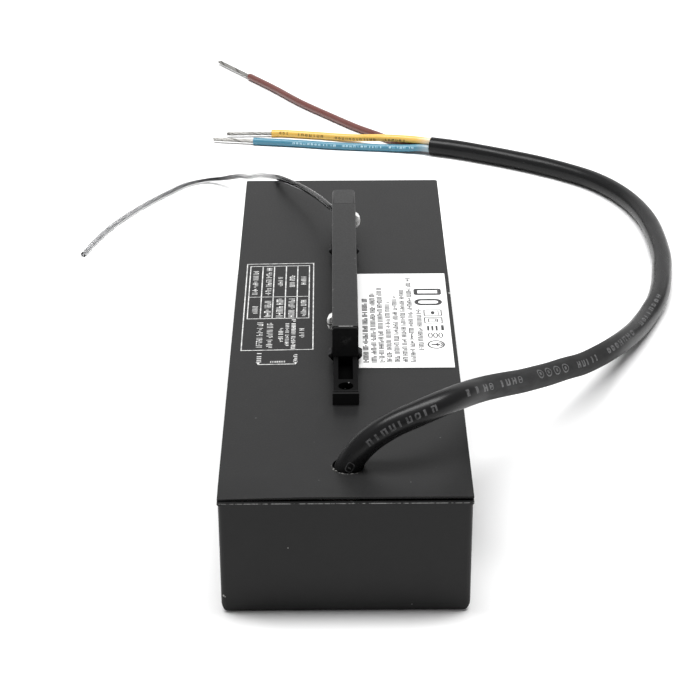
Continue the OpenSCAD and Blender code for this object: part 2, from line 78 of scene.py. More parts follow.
class Shader:
    """A Principled material whose node tree is written out line by line."""

    def __init__(self, material):
        if isinstance(material, str):
            material = bpy.data.materials.new(material)
        self.material = material
        material.use_nodes = True
        self.tree = material.node_tree
        self.tree.nodes.clear()
        out = self.tree.nodes.new("ShaderNodeOutputMaterial")
        self.bsdf = self.tree.nodes.new("ShaderNodeBsdfPrincipled")
        self.tree.links.new(self.bsdf.outputs[0], out.inputs[0])
        self._place = None

    def put(self, target, value):
        if isinstance(value, bpy.types.NodeSocket):
            self.tree.links.new(value, target)
        elif hasattr(value, "__len__") and len(value) == 3 and target.type == "RGBA":
            target.default_value = (*value, 1)
        else:
            target.default_value = value

    def set(self, **values):
        for name, value in values.items():
            self.put(self.bsdf.inputs[name.replace("_", " ")], value)
        return self

    @property
    def place(self):
        if self._place is None:
            self._place = self.tree.nodes.new("ShaderNodeTexCoord").outputs["Object"]
        return self._place

    def math(self, op, a, b=0.0, c=0.0, clamp=False):
        n = self.tree.nodes.new("ShaderNodeMath")
        n.operation = op
        n.use_clamp = clamp
        for i, v in enumerate((a, b, c)):
            self.put(n.inputs[i], v)
        return n.outputs[0]

    def split(self, v):
        n = self.tree.nodes.new("ShaderNodeSeparateXYZ")
        self.put(n.inputs[0], v)
        return n.outputs

    def join(self, x, y, z):
        n = self.tree.nodes.new("ShaderNodeCombineXYZ")
        for i, v in enumerate((x, y, z)):
            self.put(n.inputs[i], v)
        return n.outputs[0]

    def stretch(self, v, x=1.0, y=1.0, z=1.0, move=(0, 0, 0)):
        n = self.tree.nodes.new("ShaderNodeMapping")
        self.put(n.inputs["Vector"], v)
        n.inputs["Scale"].default_value = (x, y, z)
        n.inputs["Location"].default_value = move
        return n.outputs[0]

    def noise(self, scale, detail=2.0, rough=0.5, vec=None, dims="3D", w=None):
        n = self.tree.nodes.new("ShaderNodeTexNoise")
        n.noise_dimensions = dims
        if dims != "1D":
            self.put(n.inputs["Vector"], self.place if vec is None else vec)
        if w is not None:
            self.put(n.inputs["W"], w)
        self.put(n.inputs["Scale"], scale)
        self.put(n.inputs["Detail"], detail)
        self.put(n.inputs["Roughness"], rough)
        return n.outputs["Fac"]

    def cells(self, scale, vec=None, feature="F1", random_=1.0):
        n = self.tree.nodes.new("ShaderNodeTexVoronoi")
        n.feature = feature
        self.put(n.inputs["Vector"], self.place if vec is None else vec)
        self.put(n.inputs["Scale"], scale)
        self.put(n.inputs["Randomness"], random_)
        return n.outputs

    def white(self, w):
        n = self.tree.nodes.new("ShaderNodeTexWhiteNoise")
        n.noise_dimensions = "1D"
        self.put(n.inputs["W"], w)
        return n.outputs["Value"]

    def band(self, v, lo, hi, a=0.0, b=1.0, smooth=True):
        n = self.tree.nodes.new("ShaderNodeMapRange")
        n.interpolation_type = "SMOOTHSTEP" if smooth else "LINEAR"
        n.clamp = True
        for name, x in zip(("Value", "From Min", "From Max", "To Min", "To Max"),
                           (v, lo, hi, a, b)):
            self.put(n.inputs[name], x)
        return n.outputs[0]

    def within(self, v, middle, half, soft):
        """1 where v is within half of middle, falling to 0 over soft."""
        return self.band(self.math("ABSOLUTE", self.math("SUBTRACT", v, middle)),
                         half, self.math("ADD", half, soft), 1.0, 0.0)

    def mul(self, *values):
        out = values[0]
        for v in values[1:]:
            out = self.math("MULTIPLY", out, v)
        return out

    def most(self, *values):
        out = values[0]
        for v in values[1:]:
            out = self.math("MAXIMUM", out, v)
        return out

    def mix(self, fac, a, b):
        n = self.tree.nodes.new("ShaderNodeMix")
        n.data_type = "RGBA"
        self.put(n.inputs["Factor"], fac)
        self.put([s for s in n.inputs if s.name == "A" and s.type == "RGBA"][0], a)
        self.put([s for s in n.inputs if s.name == "B" and s.type == "RGBA"][0], b)
        return [s for s in n.outputs if s.type == "RGBA"][0]

    def attribute(self, name):
        n = self.tree.nodes.new("ShaderNodeAttribute")
        n.attribute_type = "GEOMETRY"
        n.attribute_name = name
        return n.outputs["Fac"]

    def bump(self, height, depth, strength=1.0, under=None):
        n = self.tree.nodes.new("ShaderNodeBump")
        n.inputs["Strength"].default_value = strength
        n.inputs["Distance"].default_value = depth
        self.put(n.inputs["Height"], height)
        if under is not None:
            self.put(n.inputs["Normal"], under)
        return n.outputs[0]

    def spots(self, points, soft=0.00008):
        """1 inside any of the balls (x, y, z, radius), in millimetres."""
        out = None
        for x, y, z, r in points:
            n = self.tree.nodes.new("ShaderNodeVectorMath")
            n.operation = "DISTANCE"
            self.put(n.inputs[0], self.place)
            n.inputs[1].default_value = (x * MM, y * MM, z * MM)
            one = self.band(n.outputs["Value"], r * MM - soft, r * MM + soft, 1.0, 0.0)
            out = one if out is None else self.most(out, one)
        return out


def scaled(c, k):
    return tuple(min(1.0, x * k) for x in c)


def simple_finish(s, colour, rough, metal=0.0, spec=0.5, vary=0.12, cloud=90.0,
                  grain=1800.0, depth=0.000012, streak=None):
    """Colour with slow clouds, fine grain in roughness and relief."""
    v = s.place if streak is None else s.stretch(s.place, *streak)
    slow = s.noise(cloud, 3.0, 0.55, v)
    fine = s.noise(grain, 2.0, 0.6, v)
    c = s.mix(slow, scaled(colour, 1 - vary), scaled(colour, 1 + vary))
    r = s.band(fine, 0.25, 0.75, max(0.03, rough - 0.07), min(1.0, rough + 0.08))
    s.set(Base_Color=c, Roughness=r, Metallic=metal, Specular_IOR_Level=spec)
    s.set(Normal=s.bump(fine, depth))
    return s, c, r


def dust(s, density=0.55, scale=230.0, top_only=True):
    """Tiny light specks, a few to the square centimetre."""
    cell = s.cells(scale)
    pick = s.split(cell["Color"])
    size = s.band(pick[1], 0.0, 1.0, 0.010, 0.042, smooth=False)
    spot = s.math("LESS_THAN", cell["Distance"], size)
    on = s.math("GREATER_THAN", pick[0], density)
    return s.mul(spot, on, s.band(pick[2], 0.0, 1.0, 0.25, 1.0, smooth=False))


# ---------------------------------------------------------------- meshes

def new_object(name, verts, faces, material, smooth=True, rides=True):
    mesh = bpy.data.meshes.new(name)
    mesh.from_pydata([tuple(v) for v in verts], [], faces)
    mesh.materials.append(material)
    mesh.polygons.foreach_set("use_smooth", [smooth] * len(mesh.polygons))
    mesh.update()
    o = bpy.data.objects.new(name, mesh)
    scene.collection.objects.link(o)
    if rides:
        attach(o, "root")
    return o


def smooth_path(points, step, low=None):
    """A smooth curve through the points, with a point about every step."""
    p = [Vector(q) for q in points]
    p = [2 * p[0] - p[1]] + p + [2 * p[-1] - p[-2]]
    out = []
    for i in range(1, len(p) - 2):
        a, b, c, d = p[i - 1:i + 3]
        t0 = 0.0
        t1 = t0 + (b - a).length ** 0.5
        t2 = t1 + (c - b).length ** 0.5
        t3 = t2 + (d - c).length ** 0.5
        n = max(2, round((c - b).length / step))
        for k in range(n + (i == len(p) - 3)):
            t = t1 + (t2 - t1) * k / n
            a1 = a * ((t1 - t) / (t1 - t0)) + b * ((t - t0) / (t1 - t0))
            a2 = b * ((t2 - t) / (t2 - t1)) + c * ((t - t1) / (t2 - t1))
            a3 = c * ((t3 - t) / (t3 - t2)) + d * ((t - t2) / (t3 - t2))
            b1 = a1 * ((t2 - t) / (t2 - t0)) + a2 * ((t - t0) / (t2 - t0))
            b2 = a2 * ((t3 - t) / (t3 - t1)) + a3 * ((t - t1) / (t3 - t1))
            q = b1 * ((t2 - t) / (t2 - t1)) + b2 * ((t - t1) / (t2 - t1))
            if low is not None and q.z < low:
                q.z = low
            out.append(q)
    return out


FACING = Vector((0, -0.88, 0.475))      # the side on which the print lies


def tangents(path):
    n = len(path)
    return [(path[min(i + 1, n - 1)] - path[max(i - 1, 0)]).normalized()
            for i in range(n)]


def frames(path):
    """At each point the tangent, the direction of the print, and the third axis."""
    out = []
    for t in tangents(path):
        f = (FACING - t * FACING.dot(t)).normalized()
        out.append((t, f, t.cross(f)))
    return out


def lengths(path):
    s = [0.0]
    for a, b in zip(path, path[1:]):
        s.append(s[-1] + (b - a).length)
    return s


class Tubes:
    """Verts and faces of one or more swept tubes, with attributes for shaders."""

    def __init__(self):
        self.verts, self.faces = [], []
        self.along, self.front, self.side, self.tone = [], [], [], []
        self.shade = 0.5

    def vert(self, p, s, c, d):
        self.verts.append(p * MM)
        self.along.append(s * MM)
        self.front.append(c)
        self.side.append(d)
        self.tone.append(self.shade)
        return len(self.verts) - 1

    def tube(self, path, radius, sides, close_start=True, close_end=True, frame_list=None,
             mouth=None):
        fr = frame_list or frames(path)
        s = lengths(path)
        rings = []
        for i, (p, (t, f, b)) in enumerate(zip(path, fr)):
            ring = []
            for k in range(sides):
                a = 2 * math.pi * k / sides
                r = radius(s[i], a) if callable(radius) else radius
                ring.append(self.vert(p + r * (math.cos(a) * f + math.sin(a) * b),
                                      s[i], math.cos(a), math.sin(a)))
            rings.append(ring)
        for a, b in zip(rings, rings[1:]):
            for k in range(sides):
                m = (k + 1) % sides
                self.faces.append((a[k], b[k], b[m], a[m]))
        for end, i, on in ((0, 0, close_start), (1, len(path) - 1, close_end)):
            if not on:
                continue
            t, f, b = fr[i]
            ring = rings[i]
            hollow = mouth if end else None
            steps = [(0.0, 1.0)] if hollow is None else [
                (0.0, 1.0), (0.0, hollow[0]), (-hollow[1], hollow[0])]
            previous = None
            for back, share in steps:
                own = []
                for k in range(sides):
                    a = 2 * math.pi * k / sides
                    r = (radius(s[i], a) if callable(radius) else radius) * share
                    own.append(self.vert(path[i] + back * t
                                         + r * (math.cos(a) * f + math.sin(a) * b),
                                         s[i], math.cos(a), math.sin(a)))
                if previous is not None:
                    for k in range(sides):
                        m = (k + 1) % sides
                        self.faces.append((previous[k], own[k], own[m], previous[m]))
                previous = own
            self.faces.append(tuple(previous) if end else tuple(reversed(previous)))

    def object(self, name, material):
        o = new_object(name, self.verts, self.faces, material)
        mesh = o.data
        for key in ("along", "front", "side", "tone"):
            attribute = mesh.attributes.new(key, "FLOAT", "POINT")
            attribute.data.foreach_set("value", getattr(self, key))
        return o


def join_seams(o, distance=0.000001):
    """Merges the doubled points of end faces, and keeps their edges crisp."""
    import bmesh
    bm = bmesh.new()
    bm.from_mesh(o.data)
    bmesh.ops.remove_doubles(bm, verts=bm.verts, dist=distance)
    bmesh.ops.recalc_face_normals(bm, faces=bm.faces)
    for e in bm.edges:
        if len(e.link_faces) == 2 and e.calc_face_angle(0.0) > math.radians(50):
            e.smooth = False
    bm.to_mesh(o.data)
    bm.free()
    o.data.update()


class Wrapped:
    """Closed shapes of ink, a hair thick, that follow a round sheath.

    x runs round the sheath from its printed side and y along it, both in mm."""

    def __init__(self, path, radius, middle):
        self.path, self.radius, self.middle = path, radius, middle
        self.fr, self.s = frames(path), lengths(path)
        self.verts, self.faces = [], []

    def at(self, x, y, lift):
        y = min(max(y, 0.0), self.s[-1] - 1e-6)
        i = max(1, min(bisect.bisect_right(self.s, y), len(self.s) - 1))
        k = (y - self.s[i - 1]) / (self.s[i] - self.s[i - 1])
        turn = self.middle[0][1]
        for (y0, a0), (y1, a1) in zip(self.middle, self.middle[1:]):
            if y >= y0:
                turn = a0 + (a1 - a0) * min(1.0, (y - y0) / (y1 - y0))
        a = math.radians(turn) + x / CABLE_R if callable(self.radius) else \
            math.radians(turn) + x / self.radius
        r = (self.radius(y, a) if callable(self.radius) else self.radius) + lift
        (_, f0, b0), (_, f1, b1) = self.fr[i - 1], self.fr[i]
        p = self.path[i - 1].lerp(self.path[i], k)
        return (p + r * (math.cos(a) * f0.lerp(f1, k) + math.sin(a) * b0.lerp(b1, k))) * MM

    def bar(self, x0, y0, x1, y1):
        nx = max(1, round(abs(x1 - x0) / 0.2))
        ny = max(1, round(abs(y1 - y0) / 0.7))
        k = len(self.verts)
        for lift in (-0.03, 0.014):
            for j in range(ny + 1):
                for i in range(nx + 1):
                    self.verts.append(self.at(x0 + (x1 - x0) * i / nx,
                                              y0 + (y1 - y0) * j / ny, lift))
        w, top = nx + 1, (nx + 1) * (ny + 1)
        for j in range(ny):
            for i in range(nx):
                a = k + j * w + i
                self.faces.append((a, a + w, a + w + 1, a + 1))
                self.faces.append((a + top, a + top + 1, a + top + w + 1, a + top + w))
        rim = ([k + i for i in range(nx)] + [k + nx + j * w for j in range(ny)]
               + [k + ny * w + nx - i for i in range(nx)] + [k + (ny - j) * w for j in range(ny)])
        for a, b in zip(rim, rim[1:] + rim[:1]):
            self.faces.append((a, b, b + top, a + top))

    def ring(self, cx, cy, rx, ry, w, n=26, power=1.0):
        """A closed band: an oval, or with a lower power a rounded frame."""
        k = len(self.verts)
        for lift in (-0.03, 0.014):
            for cut in (0.0, w):
                for i in range(n):
                    c, s = math.cos(2 * math.pi * i / n), math.sin(2 * math.pi * i / n)
                    self.verts.append(self.at(
                        cx + (rx - cut) * math.copysign(abs(c) ** power, c),
                        cy + (ry - cut) * math.copysign(abs(s) ** power, s), lift))
        for i in range(n):
            j = (i + 1) % n
            o0, o1, i0, i1, top = k + i, k + j, k + n + i, k + n + j, 2 * n
            self.faces += [(o0, i0, i1, o1), (o0 + top, o1 + top, i1 + top, i0 + top),
                           (o0, o1, o1 + top, o0 + top), (i1, i0, i0 + top, i1 + top)]

    def object(self, name, material):
        import bmesh
        o = new_object(name, self.verts, self.faces, material, smooth=False)
        bm = bmesh.new()
        bm.from_mesh(o.data)
        bmesh.ops.recalc_face_normals(bm, faces=bm.faces)
        bm.to_mesh(o.data)
        bm.free()
        return o


# ---------------------------------------------------------------- routes

cable_route = [
    [-3.9, -63.5, 14], [-1.35, -63.15, 19.3], [0.6, -62.85, 24.9],
    [3.75, -62.6, 29.5], [8.45, -62, 32.95], [14.15, -60.25, 34.85],
    [19.15, -56.95, 35.35], [23.1, -52.45, 34.45], [26, -46.8, 32.2],
    [28.5, -41.5, 29.85], [31.05, -36.2, 27.45], [33.8, -30.65, 24.9],
    [36.85, -24.65, 22.1], [40.15, -18.1, 19.25], [43.95, -11.1, 16.4],
    [48.2, -3.65, 13.55], [52.7, 3.9, 10.6], [57.1, 11.5, 8.3], [61.4, 19.2, 6.2],
    [65.7, 27, 4.6], [69.8, 35, 3.3], [73.5, 43.3, 2.5], [76.9, 51.7, 2.5],
    [79.3, 60.5, 2.5], [80.8, 69.4, 2.5], [81.9, 78.4, 2.5], [81.7, 97.1, 2.5],
    [79.2, 110.1, 2.5], [75.2, 119.7, 2.5], [69.7, 127.7, 2.5], [63.1, 133.7, 2.5],
    [56.1, 138.7, 2.5], [48.6, 143.2, 2.5], [41.1, 147.2, 2.5], [33.6, 150.8, 2.5],
    [26.1, 153.6, 2.5]]
CABLE_R, CORE_R, STRAND_R, TETHER_R = 2.5, 1.05, 0.6, 0.7

cable_end = Vector(cable_route[-1])
end_dir = (cable_end - Vector(cable_route[-2])).normalized()


def core_start(across, up):
    a = cable_end - across * Vector((-end_dir.y, end_dir.x, 0)) + Vector((0, 0, up))
    return [list(a), list(a + 2.5 * end_dir)]


core_routes = {
    "brown": core_start(1.06, -0.62) + [
        [21.1, 156.8, 1.4], [16.5, 159.8, 1.1], [11, 165.3, 1.1], [4.5, 171.8, 1.1],
        [-3, 180.8, 1.1], [-12.5, 192.8, 1.1], [-20.5, 204.8, 1.1],
        [-28.6, 215.9, 1.1]],
    "yellow": core_start(0, 1.22) + [
        [19, 156.3, 3.5], [12, 158.8, 2.9], [5, 161.9, 1.7], [-2.5, 164.5, 1.1],
        [-12, 166.4, 1.1], [-17.5, 167.3, 1.1], [-20.5, 167.3, 1.1]],
    "blue": core_start(-1.06, -0.62) + [
        [19, 154.4, 1.4], [12, 155.6, 1.1], [-2.5, 157.4, 1.1], [-12, 159.2, 1.1],
        [-25.6, 161.2, 1.1]]}
bare_lengths = {"brown": 18.0, "yellow": 13.2, "blue": 12.0}
tether_route = [
    [-1, 41, 31.5], [-2.6, 43.5, 31.4], [-5, 50, 30.7], [-9, 60.8, 28.8],
    [-15, 72.3, 26.7], [-19, 85, 22.1], [-22, 99.5, 16.1], [-25, 112.5, 10.3],
    [-28.5, 123.6, 5.8], [-33.1, 130.5, 2.3], [-38.1, 132.7, 0.9],
    [-43.1, 130.2, 0.7], [-47.6, 124.7, 0.7], [-53.6, 116.1, 0.7],
    [-59.6, 105.6, 0.7], [-64.1, 94.6, 0.7], [-67.1, 84.1, 0.7]]


# ---------------------------------------------------------------- cord finishes

def jacket_black():
    """Black PVC sheath: satin, drawn lengthwise, with a few light specks."""
    s = Shader("sheath_black")
    along, front, side = (s.attribute(n) for n in ("along", "front", "side"))
    v = s.join(s.mul(along, 0.22), s.mul(front, 0.0025), s.mul(side, 0.0025))
    flow = s.noise(900, 3, 0.55, v)
    slow = s.noise(45, 2, 0.5)
    fine = s.noise(2600, 2, 0.6)
    c = s.mix(slow, (0.0080, 0.0080, 0.0083), (0.0112, 0.0112, 0.0116))
    scuff = s.mul(s.band(s.noise(700, 4, 0.7, v), 0.70, 0.80), 0.25)
    c = s.mix(scuff, c, (0.05, 0.05, 0.05))
    c = s.mix(s.mul(dust(s, 0.70, 460), 0.7), c, (0.30, 0.30, 0.29))
    # duller on the stretch that runs down from the lid to the table
    dull = s.mul(s.band(along, 0.034, 0.052), s.band(along, 0.118, 0.140, 1.0, 0.0), 0.40)
    r = s.math("ADD", s.band(flow, 0.3, 0.7, 0.25, 0.33), dull)
    s.set(Base_Color=c, Roughness=r, Specular_IOR_Level=0.18)
    relief = s.math("ADD", s.mul(flow, 0.7), s.mul(fine, 0.35))
    s.set(Normal=s.bump(relief, 0.000022))
    return s.material


def worn_ink(name, dark, light):
    """Thin ink that has rubbed off in places."""
    s = Shader(name)
    worn = s.noise(1500, 4, 0.7)
    fine = s.noise(5200, 2, 0.6)
    s.set(Base_Color=s.mix(s.band(worn, 0.36, 0.60), dark, light),
          Roughness=s.band(fine, 0.3, 0.7, 0.42, 0.60), Specular_IOR_Level=0.3)
    s.set(Normal=s.bump(fine, 0.000006))
    return s.material


def core_jacket(name, colour, fade):
    """Core insulation: glossy PVC, chalky where the sheath was pulled off."""
    s = Shader(name)
    along, front, side = (s.attribute(n) for n in ("along", "front", "side"))
    v = s.join(s.mul(along, 0.25), s.mul(front, 0.001), s.mul(side, 0.001))
    flow = s.noise(1400, 3, 0.55, v)
    slow = s.noise(120, 2, 0.5)
    c = s.mix(slow, scaled(colour, 0.90), scaled(colour, 1.10))
    if fade:
        chalk = s.mul(s.band(along, 0.0010, 0.0062, 1.0, 0.0),
                      s.band(s.noise(800, 3, 0.6, v), 0.2, 0.7, 0.55, 1.0))
        c = s.mix(s.mul(chalk, fade), c, (0.66, 0.64, 0.60))
    c = s.mix(s.mul(dust(s, 0.80, 600), 0.6), c, (0.70, 0.69, 0.67))
    r = s.band(flow, 0.3, 0.7, 0.26, 0.40)
    s.set(Base_Color=c, Roughness=r, Specular_IOR_Level=0.5)
    s.set(Subsurface_Weight=0.06, Subsurface_Scale=0.0008)
    s.set(Normal=s.bump(flow, 0.00002))
    return s.material


def strand_metal():
    """Tinned copper wires, some brighter than others at random, with dull clouds; the centre wire is
    painted dark as shade inside the bundle.
    """
    s = Shader("strands_bright")
    tone = s.attribute("tone")
    cloud = s.noise(900, 3, 0.6)
    fine = s.noise(4200, 2, 0.6)
    c = s.mix(tone, (0.060, 0.057, 0.052), (0.41, 0.402, 0.384))
    c = s.mix(s.band(cloud, 0.35, 0.75, 0.0, 0.35), c, (0.23, 0.225, 0.214))
    s.set(Base_Color=c, Metallic=0.6, Roughness=s.band(fine, 0.3, 0.7, 0.42, 0.58))
    s.set(Normal=s.bump(fine, 0.000006))
    return s.material


def tether_jacket():
    """Clear jacket, very slightly grey, with drawing lines and a few scuffs."""
    s = Shader("tether_clear")
    along, front, side = (s.attribute(n) for n in ("along", "front", "side"))
    v = s.join(s.mul(along, 0.2), s.mul(front, 0.0007), s.mul(side, 0.0007))
    flow = s.noise(1500, 3, 0.55, v)
    cloud = s.noise(260, 3, 0.6)
    c = s.mix(cloud, (0.74, 0.75, 0.76), (0.88, 0.88, 0.885))
    s.set(Base_Color=c, Roughness=s.band(flow, 0.3, 0.72, 0.04, 0.10),
          Transmission_Weight=1.0, IOR=1.37)
    s.set(Normal=s.bump(flow, 0.000012))
    return s.material


def tether_steel():
    s = Shader("tether_steel")
    tone = s.noise(700, 3, 0.6)
    fine = s.noise(5200, 2, 0.6)
    c = s.mix(tone, (0.82, 0.82, 0.83), (1.0, 1.0, 1.0))
    along = s.attribute("along")
    # painted light and shade along the rope: nearly black where it runs above the dark lid, growing bright
    # where it comes down onto the white floor, and darkened again at its very end
    rope_painted_light = s.most(s.band(along, 0.040, 0.100, 0.030, 0.060), s.band(along, 0.100, 0.142, 0.0, 0.62))
    rope_painted_light = s.mul(rope_painted_light, s.band(along, 0.1692, 0.1698, 1.0, 0.15))
    c = s.mix(rope_painted_light, (0.0, 0.0, 0.0), c)
    s.set(Base_Color=c, Metallic=0.35, Roughness=s.band(fine, 0.3, 0.7, 0.52, 0.64),
          Specular_IOR_Level=0.15)
    s.set(Normal=s.bump(fine, 0.000006))
    return s.material


# ---------------------------------------------------------------- cords

def cable_radius(s, a):
    # the three laid-up cores press faintly through the sheath
    swell = math.cos(3 * (a - 2 * math.pi * s / 74.0))
    return CABLE_R * (0.992 + 0.008 * swell)


def make_cable():
    path = smooth_path(cable_route, 1.1, low=CABLE_R)
    t = Tubes()
    t.tube(path, cable_radius, 48, mouth=(0.925, 1.3))
    o = t.object("mains_cable_sheath", jacket_black())
    join_seams(o)
    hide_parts("mains_cable")
    return o, path


def wave(points, s_list, r, turns_mm, start, fr):
    out = []
    for p, s, (t, f, b) in zip(points, s_list, fr):
        a = start + 2 * math.pi * s / turns_mm
        out.append(p + r * (math.cos(a) * f + math.sin(a) * b))
    return out


def make_strands(colour, path):
    """A twisted bundle of fine wires in line with the core's end."""
    rng = random.Random({"brown": 3, "yellow": 7, "blue": 11}[colour])
    length = bare_lengths[colour]
    d = (path[-1] - path[-2]).normalized()
    start = path[-1] - 0.6 * d
    n = int(length / 0.4)
    line = [start + d * ((length + 0.6) * i / n) for i in range(n + 1)]
    fr = frames(line)
    s = lengths(line)
    t = Tubes()
    wire = 0.118
    for ring, count in ((0.0, 1), (0.24, 6), (0.475, 12)):
        for k in range(count):
            a = 2 * math.pi * k / count + rng.uniform(-0.06, 0.06)
            keep = len(line) - (rng.randint(0, 2) if ring else 0)
            own = []
            for i in range(keep):
                tt, f, b = fr[i]
                share = s[i] / s[-1]
                r = ring * (1.0 - 0.10 * share + 0.05 * math.sin(k * 2.1 + s[i] * 0.5))
                w = a + 2 * math.pi * s[i] / (8.5 if ring > 0.3 else 7.5)
                own.append(line[i] + r * (math.cos(w) * f + math.sin(w) * b))
            # the centre wire gets the darkest tone: painted shade deep inside the bundle
            t.shade = rng.choice((0.25, 0.5, 0.7, 0.85, 0.95, 1.0)) if ring else 0.0
            t.tube(own, wire, 7)
    o = t.object(colour + "_strand_bundle", STRAND)
    join_seams(o, 0.0000005)
    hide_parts(colour + "_strands")
    return o


def make_core(colour, material):
    path = smooth_path(core_routes[colour], 0.8, low=CORE_R + 0.03)
    d = (path[1] - path[0]).normalized()
    path = [path[0] - 1.2 * d] + path
    t = Tubes()
    t.tube(path, CORE_R, 28, mouth=(0.66, 0.5))
    o = t.object(colour + "_core_jacket", material)
    join_seams(o)
    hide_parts(colour + "_core")
    return o, path


cable, cable_path = make_cable()
STRAND = strand_metal()
core_looks = {
    "brown": core_jacket("core_brown", (0.140, 0.052, 0.045), 0.0),
    "yellow": core_jacket("core_yellow", (0.70, 0.435, 0.090), 0.7),
    "blue": core_jacket("core_blue", (0.056, 0.198, 0.282), 0.45)}
core_paths, core_objects = {}, {}
for colour in ("brown", "yellow", "blue"):
    core_objects[colour], core_paths[colour] = make_core(colour, core_looks[colour])
strands = {c: make_strands(c, core_paths[c]) for c in core_paths}


def make_tether():
    path = smooth_path(tether_route, 0.7, low=TETHER_R)
    t = Tubes()
    t.tube(path, TETHER_R, 24)
    jacket = t.object("tether_jacket", tether_jacket())
    join_seams(jacket)
    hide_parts("tether_wire")
    # the steel rope inside ends flush with the jacket, a hair inside its skin
    fr, s = frames(path), lengths(path)
    rope = Tubes()
    rope.tube(path[:-1], 0.125, 8, frame_list=fr[:-1])
    for k in range(6):
        own = wave(path[:-1], s, 0.195, 4.8, k * math.pi / 3, fr)
        rope.tube(own, 0.110, 8)
    steel = rope.object("tether_rope", tether_steel())
    join_seams(steel, 0.0000005)
    return jacket, steel, path


tether, tether_rope, tether_path = make_tether()


def text_row(ink, rng, y0, y1, n, tall, thick=0.30, x=0.0):
    """n plain marks between y0 and y1: uprights, linked pairs and small frames."""
    pitch = (y1 - y0) / n
    for k in range(n):
        y = y0 + (k + 0.12) * pitch
        wide = pitch * 0.66
        t = min(thick * max(1.0, pitch / 1.35), wide * 0.4)
        kind = rng.random()
        if kind < 0.36:
            ink.bar(x - tall / 2, y, x + tall / 2, y + t)
            ink.bar(x - tall / 2, y + wide - t, x + tall / 2, y + wide)
            c = rng.choice((-0.5, -0.13, 0.26)) * tall
            ink.bar(x + c, y + t, x + c + 0.24 * tall, y + wide - t)
        elif kind < 0.68:
            ink.ring(x, y + wide / 2, tall / 2, wide / 2, t * 0.9, n=20, power=0.7)
        else:
            m = y + wide * rng.choice((0.3, 0.5))
            ink.bar(x - tall / 2, m - t * 0.6, x + tall / 2, m + t * 0.6)


def cable_print():
    rng = random.Random(4)
    ink = Wrapped(cable_path, cable_radius, [
        (10, 8), (13, 8), (18.6, 7), (25.4, 8), (32, 5), (38.7, -4), (52.7, -6),
        (60, -9), (69, -11), (80, -17), (87, -13), (95, -7), (114, -5), (121, -7),
        (138, -12), (145, -17), (154, -18), (163, -13)])
    ink.ring(0.0, 12.8, 0.80, 1.05, 0.20, n=24, power=0.6)
    ink.bar(-0.32, 12.5, 0.32, 12.8)
    text_row(ink, rng, 18.3, 32.4, 9, 1.30)
    text_row(ink, rng, 38.0, 51.5, 4, 1.42)
    text_row(ink, rng, 54.5, 69.5, 4, 1.42)
    for k in range(4):
        y = 80.6 + 4.9 * k
        ink.ring(0.0, y, 1.05, 1.75, 0.32, n=26)
        ink.bar(-0.34, y - 0.5, 0.34, y + 0.5)
    text_row(ink, rng, 102.0, 115.2, 5, 1.5)
    text_row(ink, rng, 120.2, 139.2, 7, 1.42)
    text_row(ink, rng, 143.8, 163.6, 8, 1.15)
    o = ink.object("cable_print", worn_ink("cable_ink", (0.028, 0.028, 0.029),
                                           (0.092, 0.092, 0.094)))
    return o


def core_print(colour, groups, dark, light, middle, tall):
    rng = random.Random(len(colour))
    ink = Wrapped(core_paths[colour], CORE_R, middle)
    for y0, y1 in groups:
        text_row(ink, rng, y0 + 1.2, y1 + 1.2, max(1, round((y1 - y0) / 1.12)), tall, 0.28)
    o = ink.object(colour + "_core_print", worn_ink(colour + "_ink", dark, light))
    return [o]


cable_ink = cable_print()
core_ink = {
    "yellow": core_print("yellow", ((7.6, 14.2), (16.6, 30.0), (33.2, 41.4), (43.9, 46.9)),
                         (0.42, 0.26, 0.05), (0.085, 0.045, 0.016),
                         [(0, -42), (16, -42), (24, -38), (30, -30), (33, -22), (42, -14), (47, -4)], 0.80),
    "blue": core_print("blue", ((4.6, 6.4), (6.9, 12.3), (14.1, 26.0), (27.5, 40.7)),
                       (0.10, 0.32, 0.44), (0.50, 0.66, 0.72),
                       [(0, -6), (14, -2), (40, -10)], 0.58)}


# ---------------------------------------------------------------- print

